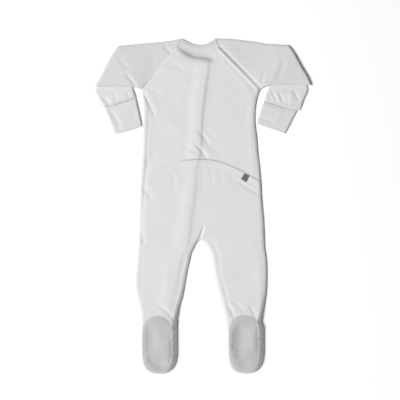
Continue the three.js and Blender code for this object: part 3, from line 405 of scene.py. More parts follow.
def patch(left: Curve, right: Curve, top: Curve, bottom: Curve) -> Spot:
    """Area between four edges.

    Args:
        left: Side at s = 0, run from top to bottom.
        right: Side at s = 1, run from top to bottom.
        top: End at v = 0, run from left to right.
        bottom: End at v = 1, run from left to right.

    Returns:
        A function from shares s across and v along to points.
    """

    def spot(s: Array, v: Array) -> Array:
        """Points of the area.

        Args:
            s: Shares across.
            v: Shares along.

        Returns:
            The points.
        """
        a, b = s[:, None], v[:, None]
        sides = mix(left(v), right(v), a)
        ends = mix(top(s), bottom(s), b)
        corners = mix(mix(left([0]), right([0]), a), mix(left([1]), right([1]), a), b)
        return sides + ends - corners

    return spot


def nearest(edges: Sequence[Array], at: Array) -> tuple[Array, Array]:
    """Distance from points to some lines.

    Args:
        edges: Runs of points.
        at: Points to measure from.

    Returns:
        The distances, and one where a point lies left of its nearest line, or minus one.
    """
    best = np.full(len(at), np.inf)
    side = np.ones(len(at))
    for edge in edges:
        start, run = edge[:-1], np.diff(edge, axis=0)
        length = np.maximum(np.linalg.norm(run, axis=1), 1e-9)
        for part in np.array_split(np.arange(len(at)), max(1, len(at) // 4000)):
            off = at[part, None, :] - start[None]
            t = np.clip((off * run).sum(2) / length**2, 0, 1)
            gap = np.linalg.norm(off - t[..., None] * run, axis=2)
            k = gap.argmin(1)
            rows = np.arange(len(part))
            closer = gap[rows, k] < best[part]
            turn = run[k, 0] * off[rows, k, 1] - run[k, 1] * off[rows, k, 0]
            best[part] = np.where(closer, gap[rows, k], best[part])
            side[part] = np.where(closer, np.sign(turn), side[part])
    return best, side


def sample(curve: Curve, count: int) -> Array:
    """Evenly spread points of a line, both ends with them."""
    return curve(np.linspace(0, 1, count + 1))


@dataclass(frozen=True)
class Groove:
    """A shallow line pressed into the cloth along a run, such as a seam or a row of stitches.

    Args:
        run: Points of the line.
        depth: How deep it lies, below nought for a raised line.
        width: Its half width.
    """

    run: Array
    depth: float
    width: float

    def lift(self, at: Array) -> Array:
        """Height that the line adds at some points."""
        gap, _ = nearest([self.run], at)
        return -self.depth * np.exp(-((gap / self.width) ** 2))


@dataclass(frozen=True)
class Ledge:
    """A place where the cloth drops because something under it ends.

    Args:
        run: Points of the line, with the low side on its left.
        drop: How far the cloth drops.
        width: Width of the slope.
    """

    run: Array
    drop: float
    width: float

    def lift(self, at: Array) -> Array:
        """Height that the ledge adds at some points."""
        gap, side = nearest([self.run], at)
        return -self.drop * soft(0.5 + gap * side / self.width)


def traced(*points: tuple[float, float]) -> Array:
    """Smooth run through some points."""
    return spline(points)(np.linspace(0, 1, 6 * len(points)))


def waist_y(x: Array) -> Array:
    """Height of the casing's upper edge at x."""
    return WAIST.at("top", -np.asarray(x))


def waist_low(x: Array) -> Array:
    """Height of the casing's lower edge at x."""
    return waist_y(x) - WAIST.at("depth", -np.asarray(x))


def waist_line(share: float) -> Array:
    """Run across the casing at a share of its depth."""
    x = np.linspace(-111, 104, 60)
    return np.stack([x, mix(waist_y(x), waist_low(x), share)], axis=1)


# The free edges, with close points at the crotch
CLOSE = np.linspace(0, 1, 70)
BODY_EDGES = (
    sample(down(SIDES, "left", ARMPIT_Y, ANKLE_END), 110),
    sample(down(SIDES, "right", ANKLE_END, ARMPIT_Y), 110),
    np.concatenate([
        down(INSEAM, "left", ANKLE_END, CROTCH[1])(CLOSE**0.5),
        down(INSEAM, "right", CROTCH[1], ANKLE_END)(CLOSE**2)[1:],
    ]),
)


def ripple(at: Array) -> Array:
    """Slow unevenness of cloth smoothed by hand.

    Args:
        at: Points of the pattern.

    Returns:
        The heights.
    """
    x, y = at[:, 0], at[:, 1]
    wave = np.sin(x / 17 + 1.1 * np.sin(y / 39)) * np.sin(y / 23 + 0.7)
    cross = np.sin((x + 1.4 * y) / 21 + 2 + 0.8 * np.sin(x / 33))
    fine = np.sin(x / 4.3 + 1.7 * np.sin(y / 9)) * np.sin(y / 5.1 + 1.3 * np.sin(x / 11))
    return 0.2 * wave + 0.12 * cross + 0.045 * fine


NECKLINE = traced((-46, 289), (-40.5, 282), (-33, 277), (-25, 272.8), (-18, 269.6), (-11, 267.6),
                  (-2, 266.6), (8, 265.2), (18, 262.6), (29, 259))
SEAM_LINES = (
    # Side seam on the wearer's left
    Groove(traced((-105, 206), (-97, 181), (-97, 154), (-100, 104), (-100, 77), (-104, 44),
                  (-106, 14), (-109, -26), (-107, -62)), 1.1, 3.2),
    # Outer and inner seams of the legs
    Groove(traced((-110.5, -88), (-112, -123), (-111.5, -168)), 1, 4.5),
    Groove(traced((-33, -88), (-40, -130), (-48, -170), (-54, -200)), 0.5, 3.4),
    Groove(traced((-1, -55), (8, -59), (17, -65.7), (25.6, -85.5), (31.5, -128.7), (40, -152),
                  (46, -184)), 0.9, 4),
    Groove(traced((108, -60), (110, -130), (105, -190)), 0.4, 3),
    # Turned edge of the right raglan seam, with its row of stitches
    Groove(traced((26.4, 285), (45.7, 265.5), (72.9, 237.8), (101.7, 208.4)), -1.1, 2),
    Groove(traced((42.4, 262.6), (69.6, 235), (95, 209)), 0.5, 1.2),
    Groove(traced((-47, 285), (-65, 264), (-88, 236), (-108, 212)), 0.4, 1.5),
    # Creases from pressing
    Groove(traced((-118, -90), (-50, -91)), 0.5, 2),
    Groove(traced((30, -89), (118, -91)), 0.6, 2),
    Groove(traced((-118, -166.5), (118, -166.5)), 0.6, 2.2),
)

# The back sinks where the front's neckline ends under it
NECK_LEDGE = Ledge(NECKLINE, 2.5, 8)


def back_top(at: Array) -> Array:
    """Height of the back over the ground.

    Args:
        at: Points of the pattern.

    Returns:
        The heights, with folds, seams and what shows through from the front.
    """
    x, y = at[:, 0], at[:, 1]
    off = x - OPENING.at("x", y)
    slope = OPENING.at("slope", y)
    ridge = OPENING.at("rise", y) * soft((off + 30) / 22) * (1 - soft(off / slope + 0.4))
    details = raised((*BODY_FOLDS, *SEAM_LINES), at)
    neck = NECK_LEDGE.lift(at) * (1 - 0.9 * soft((x - 2) / 22)) + 1.3 * soft((y - 232) / 26)
    return LEVEL.at("height", y) + ridge + details + neck + ripple(at)


@dataclass(frozen=True)
class Grid:
    """Grid of cells on a patch, with close cells at rolled sides.

    Args:
        columns: Number of cells across.
        rows: Number of cells along.
        roll: Width of the close cells at the sides.
        tight: Which of start and end are rolled across, and start and end along.
        length: Length of the patch, for close rows at its ends.
    """

    columns: int
    rows: int
    roll: float = 4.5
    tight: tuple[bool, bool, bool, bool] = (True, True, False, False)
    length: float = 100

    STEPS = 6

    def _spread(self, index: Array, count: int, span: Array | float, ends: tuple[bool, bool]) -> Array:
        """Shares of a run for cell numbers, with close steps at some ends.

        Args:
            index: Number of each row or column.
            count: How many there are.
            span: Length of the run at each.
            ends: Whether the steps are close at the start and at the end.

        Returns:
            The shares.
        """
        edge = self.roll * (1 - np.cos(np.linspace(0, math.pi / 2, self.STEPS + 1))) / span_of(span)
        first, last = (self.STEPS if end else 0 for end in ends)
        low = edge[:, -1] if ends[0] else np.zeros(len(index))
        high = 1 - (edge[:, -1] if ends[1] else np.zeros(len(index)))
        even = mix(low, high, (index - first) / max(1, count - first - last))
        rows = np.arange(len(index))
        share = even
        if ends[0]:
            share = np.where(index < first, edge[rows, np.clip(index, 0, self.STEPS)], share)
        if ends[1]:
            tail = edge[rows, np.clip(count - index, 0, self.STEPS)]
            share = np.where(index > count - last, 1 - tail, share)
        return share

    def shares(self, cell_x: Array, cell_y: Array, spot: Spot) -> tuple[Array, Array]:
        """Shares across and along for vertices of the flat grid.

        Args:
            cell_x: Column number of each vertex.
            cell_y: Row number of each vertex, from the top.
            spot: The patch, for the width of each row.

        Returns:
            Shares s and v.
        """
        v = self._spread(cell_y, self.rows, np.full(len(cell_y), self.length), self.tight[2:])
        width = np.linalg.norm(spot(np.zeros(len(v)), v) - spot(np.ones(len(v)), v), axis=1)
        return self._spread(cell_x, self.columns, np.maximum(width, 1), self.tight[:2]), v


def span_of(span: Array) -> Array:
    """Spans as a column, for one row of steps each."""
    return np.asarray(span, float)[:, None]


def lay_grid(bm: bmesh.types.BMesh, grid: Grid, spot: Spot, height: Height, up: bool = True) -> None:
    """Add one grid of cells, bent to a patch at a height.

    Args:
        bm: Mesh to add to.
        grid: Number and spacing of the cells.
        spot: Patch of the pattern.
        height: Height from the points, the shares s and v and the flag of each side.
        up: Whether the faces look up.
    """
    made = bmesh.ops.create_grid(bm, x_segments=grid.columns, y_segments=grid.rows, size=0.5)["verts"]
    flat = np.array([vertex.co[:2] for vertex in made])
    cell_x = np.rint((flat[:, 0] + 0.5) * grid.columns).astype(int)
    cell_y = np.rint((0.5 - flat[:, 1]) * grid.rows).astype(int)
    s, v = grid.shares(cell_x, cell_y, spot)
    at = spot(s, v)
    border = np.stack([cell_x == 0, cell_x == grid.columns, cell_y == 0, cell_y == grid.rows])
    z = height(at, s, v, border)
    place = np.column_stack([(at + SHIFT) * MM, z * MM])
    for vertex, co in zip(made, place):
        vertex.co = co
    faces = list({face for vertex in made for face in vertex.link_faces})
    bm.normal_update()
    if (sum(face.normal.z for face in faces) > 0) != up:
        bmesh.ops.reverse_faces(bm, faces=faces)


def rolled(free: Sequence[Array], roll: Callable[[Array], Array] | float, low: float | Height,
           top: Callable[[Array], Array], on: tuple[bool, bool, bool, bool]) -> Height:
    """Height of a wall that falls to a rim along its free edges.

    Args:
        free: Free edges.
        roll: Width of the rolled edge.
        low: Height of the rim.
        top: Height away from the edges.
        on: Which of the grid's sides and ends are free edges themselves.

    Returns:
        A function for lay_grid.
    """

    def height(at: Array, s: Array, v: Array, border: Array) -> Array:
        """Heights of the wall.

        Args:
            at: Points of the pattern.
            s: Shares across.
            v: Shares along.
            border: Which points lie on each side of the grid.

        Returns:
            The heights.
        """
        gap, _ = nearest(free, at)
        gap = np.where((border & np.array(on)[:, None]).any(0), 0, gap)
        width = roll(at) if callable(roll) else roll
        rim = low(at, s, v) if callable(low) else low
        share = np.clip(gap / width, 0, 1)
        return rim + (top(at, s, v) - rim) * mix(np.sqrt(1 - (1 - share) ** 2), share, SLANT)

    return height


def body_roll(at: Array) -> Array:
    """Width of the back's rolled edge, which widens to the foot's wall on the right of each heel.

    Args:
        at: Points of the pattern.

    Returns:
        The widths.
    """
    x, y = at.T
    left_heel, right_heel = HEEL_MIDDLES
    on_right = ((x > left_heel) & (x < 0)) | (x > right_heel)
    return LEVEL.at("roll", y) + on_right * HEEL_ROLL * soft((HEEL_ROLL_TOP - y) / HEEL_ROLL_RUN)


def flat_at(z: float) -> Height:
    """A flat height."""
    return lambda at, *shares: np.full(len(at), float(z))


def cells(length: float) -> int:
    """Number of mesh cells over a length."""
    return max(4, round(length / CELL))


@dataclass(frozen=True)
class Finish:
    """A finish, whose material is made once.

    Args:
        name: Name of the material.
        slot: Material slot of the record; not used.
        color: Base colour, linear.
    """

    name: str
    slot: str
    color: tuple[float, float, float]

    def material(self) -> bpy.types.Material:
        """The finished material.

        Returns:
            The material.
        """
        known = bpy.data.materials.get(self.name)
        if known:
            return known
        material = bpy.data.materials.new(self.name)
        material.use_nodes = True
        tree = material.node_tree
        self.dress(tree, tree.nodes["Principled BSDF"].inputs)
        return material

    def dress(self, tree: bpy.types.NodeTree, inputs: bpy.types.NodeInputs) -> None:
        """Give the shader a plain colour with no shine, as paper has."""
        set_inputs(inputs, {"Base Color": (*self.color, 1), "Roughness": 1, "Specular IOR Level": 0})


def set_inputs(inputs: bpy.types.NodeInputs, settings: dict[str, float | tuple[float, ...]]) -> None:
    """Set a node's inputs by their names."""
    for name, value in settings.items():
        inputs[name].default_value = value


@dataclass(frozen=True)
class Cloth(Finish):
    """Plain knitted cotton: fine wales and courses, soft fuzz and slight unevenness of tone.

    Args:
        wale: Width of a knitted column in millimetres.
        relief: Depth of the knit in millimetres.
        roughness: Roughness of the surface.
        sheen: Weight of the fuzz at its edges.
        uneven: How much darker its darkest spots are.
    """

    wale: float
    relief: float
    roughness: float = 0.92
    sheen: float = 0.25
    uneven: float = 0.05

    FUZZ_ROUGHNESS = 0.6
    SPECULAR = 0.2
    # Darkest colour of the painted shade, as a share of the cloth's colour
    PAINTED_SHADE_DARKEST = 0.35  # share of the colour that is left in full shade
    BLOTCHES = (28, 3)  # scale of the unevenness in cycles a metre, and its detail
    FUZZ = (900, 4)
    FUZZ_SHARE = 0.6  # of the height of the loops
    WAVER = 0.6  # how far the rows of loops wander
    LOOP_SHAPE = 0.8  # height of a loop over its width
    STRENGTH = 0.7

    def dress(self, tree: bpy.types.NodeTree, inputs: bpy.types.NodeInputs) -> None:
        """Give the shader the cloth's tone, its painted shade, fuzz and knit.

        Args:
            tree: Node tree of the material.
            inputs: Inputs of its shader.
        """
        set_inputs(inputs, {
            "Roughness": self.roughness, "Sheen Weight": self.sheen, "Sheen Roughness": self.FUZZ_ROUGHNESS,
            "Specular IOR Level": self.SPECULAR,
        })
        place = tree.nodes.new("ShaderNodeTexCoord").outputs["Object"]
        tone = self._noise(tree, place, *self.BLOTCHES)
        shade = tree.nodes.new("ShaderNodeMix")
        shade.data_type = "RGBA"
        dim = tuple(channel * (1 - self.uneven) for channel in self.color)
        shade.inputs["A"].default_value = (*dim, 1)
        shade.inputs["B"].default_value = (*self.color, 1)
        tree.links.new(tone, shade.inputs["Factor"])
        # Painted shade: the colour darkens by the per-vertex share read from the attribute below
        under = tree.nodes.new("ShaderNodeMix")
        under.data_type = "RGBA"
        under.inputs["B"].default_value = (*(channel * self.PAINTED_SHADE_DARKEST for channel in self.color), 1)
        shown = tree.nodes.new("ShaderNodeAttribute")
        shown.attribute_name = "show_through"
        tree.links.new(shown.outputs["Fac"], under.inputs["Factor"])
        tree.links.new(shade.outputs["Result"], under.inputs["A"])
        tree.links.new(under.outputs["Result"], inputs["Base Color"])
        tree.links.new(self._knit(tree, place), inputs["Normal"])

    @staticmethod
    def _noise(tree: bpy.types.NodeTree, place: bpy.types.NodeSocket, scale: float,
               detail: float) -> bpy.types.NodeSocket:
        """Noise at a scale, in cycles a metre.

        Args:
            tree: Node tree of the material.
            place: Socket of the coordinates.
            scale: Its scale.
            detail: Its detail.

        Returns:
            Its output.
        """
        noise = tree.nodes.new("ShaderNodeTexNoise")
        noise.inputs["Scale"].default_value = scale
        noise.inputs["Detail"].default_value = detail
        tree.links.new(place, noise.inputs["Vector"])
        return noise.outputs["Fac"]

    def _knit(self, tree: bpy.types.NodeTree, place: bpy.types.NodeSocket) -> bpy.types.NodeSocket:
        """Normal of the knit: wales with slanted loops, and fuzz.

        Args:
            tree: Node tree of the material.
            place: Socket of the coordinates.

        Returns:
            The normal.
        """
        def wave(direction: str, pitch: float) -> bpy.types.NodeSocket:
            """Ribs of a given pitch in millimetres.

            Args:
                direction: Axis along which the ribs follow one another.
                pitch: Distance between them in millimetres.

            Returns:
                Their output.
            """
            node = tree.nodes.new("ShaderNodeTexWave")
            node.bands_direction = direction
            node.inputs["Scale"].default_value = math.pi / 10 / (pitch * MM)
            node.inputs["Distortion"].default_value = self.WAVER
            node.inputs["Detail"].default_value = 1
            tree.links.new(place, node.inputs["Vector"])
            return node.outputs["Fac"]

        loops = tree.nodes.new("ShaderNodeMath")
        loops.operation = "MULTIPLY"
        tree.links.new(wave("X", self.wale), loops.inputs[0])
        tree.links.new(wave("Y", self.wale * self.LOOP_SHAPE), loops.inputs[1])
        fuzz = tree.nodes.new("ShaderNodeMath")
        fuzz.operation = "MULTIPLY_ADD"
        fuzz.inputs[1].default_value = self.FUZZ_SHARE
        tree.links.new(self._noise(tree, place, *self.FUZZ), fuzz.inputs[0])
        tree.links.new(loops.outputs[0], fuzz.inputs[2])
        bump = tree.nodes.new("ShaderNodeBump")
        bump.inputs["Distance"].default_value = self.relief * MM
        bump.inputs["Strength"].default_value = self.STRENGTH
        tree.links.new(fuzz.outputs[0], bump.inputs["Height"])
        return bump.outputs["Normal"]


@dataclass(frozen=True)
class Metal(Finish):
    """Pressed metal of the studs.

    Args:
        grain: Scale of its unevenness, in cycles a metre.
        roughness: Least and greatest roughness.
    """

    grain: float = 1500
    roughness: tuple[float, float] = (0.28, 0.45)

    def dress(self, tree: bpy.types.NodeTree, inputs: bpy.types.NodeInputs) -> None:
        """Give the shader the metal's colour and uneven gloss.

        Args:
            tree: Node tree of the material.
            inputs: Inputs of its shader.
        """
        set_inputs(inputs, {"Base Color": (*self.color, 1), "Metallic": 1})
        noise = tree.nodes.new("ShaderNodeTexNoise")
        noise.inputs["Scale"].default_value = self.grain
        spread = tree.nodes.new("ShaderNodeMapRange")
        set_inputs(spread.inputs, dict(zip(("To Min", "To Max"), self.roughness)))
        tree.links.new(tree.nodes.new("ShaderNodeTexCoord").outputs["Object"], noise.inputs["Vector"])
        tree.links.new(noise.outputs["Fac"], spread.inputs["Value"])
        tree.links.new(spread.outputs["Result"], inputs["Roughness"])


JERSEY = Cloth("jersey_grey", "jersey", (0.69, 0.69, 0.697), 0.95, 0.16)
# Same jersey as the body, darker: painted shade on the sleeves
SHADED_SLEEVE_JERSEY = Cloth("jersey_sleeve_shaded_copy", "jersey", (0.65, 0.65, 0.657), 0.95, 0.16)
DOUBLED = Cloth("jersey_doubled", "rib", (0.67, 0.67, 0.677), 0.95, 0.16)
# Base colour darkened as painted shade on the soles; the stronger unevenness is random tone
SHADED_SOLE_JERSEY = Cloth("jersey_sole_shaded_copy", "sole_jersey", (0.54, 0.54, 0.548), 0.95, 0.2, uneven=0.2)
TAPE = Cloth("tape_taupe", "tag_cloth", (0.162, 0.15, 0.13), 0.4, 0.08, 0.7, 0.1)
THREAD = Cloth("thread_grey", "jersey", (0.7, 0.7, 0.71), 0.3, 0.05, 0.6, 0.3)
STEEL = Metal("stud_metal", "stud", (0.578, 0.584, 0.597))


def make_piece(name: str, bm: bmesh.types.BMesh, finish: Finish, nodes: Sequence[str],
               shell: float = 0) -> bpy.types.Object:
    """Turn a mesh into a finished piece that rides on the garment.

    Args:
        name: Name of the piece.
        bm: Its mesh, which is freed.
        finish: Its finish.
        nodes: Solids that it stands for.
        shell: Thickness of the cloth laid inside it, or nought for a closed mesh.

    Returns:
        The new object.
    """
    bmesh.ops.remove_doubles(bm, verts=bm.verts, dist=2e-6)
    bmesh.ops.dissolve_degenerate(bm, edges=bm.edges, dist=1e-6)
    for face in bm.faces:
        face.smooth = True
    for edge in bm.edges:
        edge.smooth = not edge.is_boundary
    mesh = bpy.data.meshes.new(name)
    bm.to_mesh(mesh)
    bm.free()
    obj = bpy.data.objects.new(name, mesh)
    bpy.context.scene.collection.objects.link(obj)
    mesh.materials.append(finish.material())
    # Painted shade: each jersey piece stores its share of painted shade per vertex
    if finish in (JERSEY, SHADED_SLEEVE_JERSEY, DOUBLED):
        spots = np.array([vertex.co[:2] for vertex in mesh.vertices]) / MM - SHIFT
        shown = mesh.attributes.new("show_through", "FLOAT", "POINT")
        shown.data.foreach_set("value", Shade().at(spots).astype(np.float32))
    if shell:
        wall = obj.modifiers.new("cloth", "SOLIDIFY")
        wall.thickness = shell * MM
        wall.offset = -1
    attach(obj, "root")
    if nodes:
        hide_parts(*nodes)
    LOG.info("%s: %d faces", name, len(mesh.polygons))
    return obj


def area_of(obj: bpy.types.Object) -> float:
    """Area of the cloth of a piece, one side only, in square metres."""
    return sum(face.area for face in obj.data.polygons)


def declare(obj: bpy.types.Object, width: float, length: float,
            layers: int = 1) -> None:
    """State the cut of a laid piece of cloth.

    Args:
        obj: The piece.
        width: Width of the cut in millimetres.
        length: Length of the cut in millimetres.
        layers: How many times its mesh covers the cut.
    """
    area = area_of(obj) / layers
    full = width * length * MM * MM
    LOG.info("%s: cut %.0f by %.0f mm, area %.4f m2, share %.2f", obj.name, width, length, area, area / full)


@dataclass(frozen=True)
class Shade:
    """Painted shade drawn into the cloth's colour, in shares of the darkest.

    Every part of it is painted shade, laid where seams, ledges, creases and slopes of the cloth fall into
    shade.

    Args:
        neck: Painted shade along the ledge over the front's neckline.
        neck_width: Its half width.
        seam: Painted shadow along the casing's upper seam, at its left end and on the right.
        seam_width: Its half width.
        band: Painted shade on the upper half of the back neck band.
        placket: Painted shade beside the placket's ridge.
        placket_width: How far that reaches.
        lines: Painted shade at the wrists, the left armpit and elbow, the left leg and the left side.
    """

    neck: float = 0.52
    neck_width: float = 6
    seam: tuple[float, float] = (0.1, 0.48)
    seam_width: float = 1.1
    band: float = 0.13
    placket: float = 0.1
    placket_width: float = 8
    # Grooves here serve only as runs of painted shade, not as pressed lines
    lines: tuple[Groove, ...] = (
        Groove(traced((-178, 179.5), (-150, 185.5), (-121, 195.5)), 0.2, 2.4),
        Groove(traced((113, 189), (140, 184.5), (172, 180)), 0.16, 2.2),
        Groove(traced((-107, 204), (-98, 182), (-92, 166)), 0.12, 2.2),
        Groove(traced((-196, 218.5), (-150, 217.5), (-132, 214)), 0.08, 2),
        Groove(traced((-120, -70), (-121, -120), (-118, -170)), 0.13, 16),
        Groove(traced((-99, 196), (-93.5, 172), (-93.5, 150), (-96, 104), (-97, 77)), 0.12, 4),
    )

    def at(self, spots: Array) -> Array:
        """Share of painted shade at some points.

        Args:
            spots: Points of the pattern.

        Returns:
            The shares, nought for most of the cloth.
        """
        x, y = spots.T
        gap, _ = nearest([NECKLINE], spots)
        ends = soft((x + 50) / 18) * (1 - soft((x - 4) / 26))
        neck = self.neck * ends * np.exp(-((gap / self.neck_width) ** 2))
        seam = mix(*self.seam, soft((x + 42) / 16)) * np.exp(-(((y - waist_y(x)) / self.seam_width) ** 2))
        band = self.band * soft((y - NeckBands.inner_y(x) - 8) / 5) * (1 - soft((np.abs(x + 6) - 30) / 8))
        off = x - OPENING.at("x", y)
        reach = np.exp(-np.maximum(0, off) / self.placket_width)
        beside = self.placket * soft(off / 4 + 0.3) * reach * (1 - soft((y - 235) / 20))
        return neck + seam + band + beside - raised(self.lines, spots)


@dataclass
class BackPanels:
    """Back bodice, waist casing and seat with both back legs.

    Args:
        armpit_share: Share of the bodice's side that the raglan seam takes.
        seam: Gap at the seams.
        stitch_rows: Shares of the casing's depth at which its rows of stitches lie.
    """

    armpit_share: float = 0.4
    seam: float = SEAM
    stitch_rows: tuple[float, float] = (0.47, 0.82)

    @staticmethod
    def casing_top(at: Array, v: Array) -> Array:
        """Height of the casing at share v of its depth: a ledge at the upper seam, none below."""
        ledge = mix(0.1, 1.1, soft((at[:, 0] + 52) / 40))
        return back_top(at) + ledge * (1 - soft(v)) * soft(v / 0.11 + 0.15) + 0.2 * np.sin(math.pi * v) ** 2

    def build(self) -> list[bpy.types.Object]:
        """Make the three panels."""
        return [self.bodice(), self.casing(), self.seat()]

    def bodice(self) -> bpy.types.Object:
        """Back between the raglan seams, the neck band and the casing.

        Returns:
            The piece.
        """
        ends = [(x, float(waist_y(x))) for x in WAIST_ENDS]
        left, right = (
            chain(straight(RAGLAN[side]), down(SIDES, side.value, ARMPIT_Y, end[1]), self.armpit_share)
            for side, end in zip(Side, ends)
        )
        top = across(RAGLAN[Side.LEFT][0], RAGLAN[Side.RIGHT][0], lambda x: NeckBands.inner_y(x) - self.seam)
        low = across(*ends, waist_y)
        bm = bmesh.new()
        grid = Grid(cells(212), cells(235))
        height = rolled(BODY_EDGES[:2], body_roll, RIM, lambda at, s, v: back_top(at), (False,) * 4)
        lay_grid(bm, grid, patch(left, right, top, low), height)
        obj = make_piece("bodice_cloth", bm, JERSEY, ["back_bodice"], SHELL)
        declare(obj, 225, 250)
        return obj

    def casing(self) -> bpy.types.Object:
        """Waist casing, a little thicker than the panels that it joins.

        Returns:
            The piece.
        """
        ends = [(x, 0) for x in WAIST_ENDS]
        top = across(*ends, lambda x: waist_y(x) - self.seam)
        low = across(*ends, waist_low)
        left, right = (
            down(SIDES, side.value, float(top([k])[0, 1]), float(low([k])[0, 1]))
            for k, side in enumerate(Side)
        )
        rows = [Groove(waist_line(share), 0.12, 1) for share in self.stitch_rows]

        def level(at: Array, s: Array, v: Array) -> Array:
            """Height of the casing, pinched by the elastic between its tacks.

            Args:
                at: Points of the pattern.
                s: Shares across.
                v: Shares along.

            Returns:
                The heights.
            """
            x = at[:, 0]
            held = soft((x + 58) / 8) * (1 - soft((x - 10) / 8))
            pinch = held * 0.04 * np.sin(x * 0.95 + 0.8 * np.sin(x / 5)) * np.sin(math.pi * v)
            return self.casing_top(at, v) + pinch + raised(rows, at)

        bm = bmesh.new()
        spot = patch(left, right, top, low)
        height = rolled(BODY_EDGES[:2], body_roll, RIM, level, (True, True, False, False))
        lay_grid(bm, Grid(cells(300), 16), spot, height)
        obj = make_piece("casing_cloth", bm, JERSEY, ["back_waistband"], SHELL)
        declare(obj, 245, 17)
        return obj

    def seat(self) -> bpy.types.Object:
        """Seat and both back legs in one piece.

        Returns:
            The piece.
        """
        def seat_y(x: Array) -> Array:
            """Upper edge of the seat."""
            return waist_low(x) - self.seam

        bm = bmesh.new()
        columns = cells(108)
        height = rolled(BODY_EDGES, body_roll, RIM, lambda at, s, v: back_top(at), (False,) * 4)
        for foot in FEET:
            is_left = foot.side is Side.LEFT
            name = foot.side.value
            corner_x = WAIST_ENDS[0] if is_left else WAIST_ENDS[1]
            outer = down(SIDES, name, float(seat_y(corner_x)), CROTCH[1])
            middle = across((CROTCH[0], float(seat_y(CROTCH[0]))), CROTCH)
            left, right = (outer, middle) if is_left else (middle, outer)
            top = across(left([0])[0], right([0])[0], seat_y)
            low = across(left([1])[0], right([1])[0])
            on = (is_left, not is_left, False, False)
            lay_grid(bm, Grid(columns, cells(125)), patch(left, right, top, low), self._free(height, on))
            edges = foot.leg_edges()
            leg = patch(*edges, low, foot.leg_end_line(edges))
            lay_grid(bm, Grid(columns, cells(175)), leg, self._free(height, (True, True, False, False)))
        obj = make_piece("seat_cloth", bm, JERSEY, ["back_seat"], SHELL)
        declare(obj, 250, 300)
        return obj

    @staticmethod
    def _free(height: Height, on: tuple[bool, bool, bool, bool]) -> Height:
        """The same wall with some of the grid's sides as free edges.

        Args:
            height: Height of the wall.
            on: Which sides and ends of the grid are free.

        Returns:
            A function for lay_grid.
        """
        def edge(at: Array, s: Array, v: Array, border: Array) -> Array:
            """Heights with the free sides at the rim."""
            z = height(at, s, v, border)
            return np.where((border & np.array(on)[:, None]).any(0), RIM, z)

        return edge


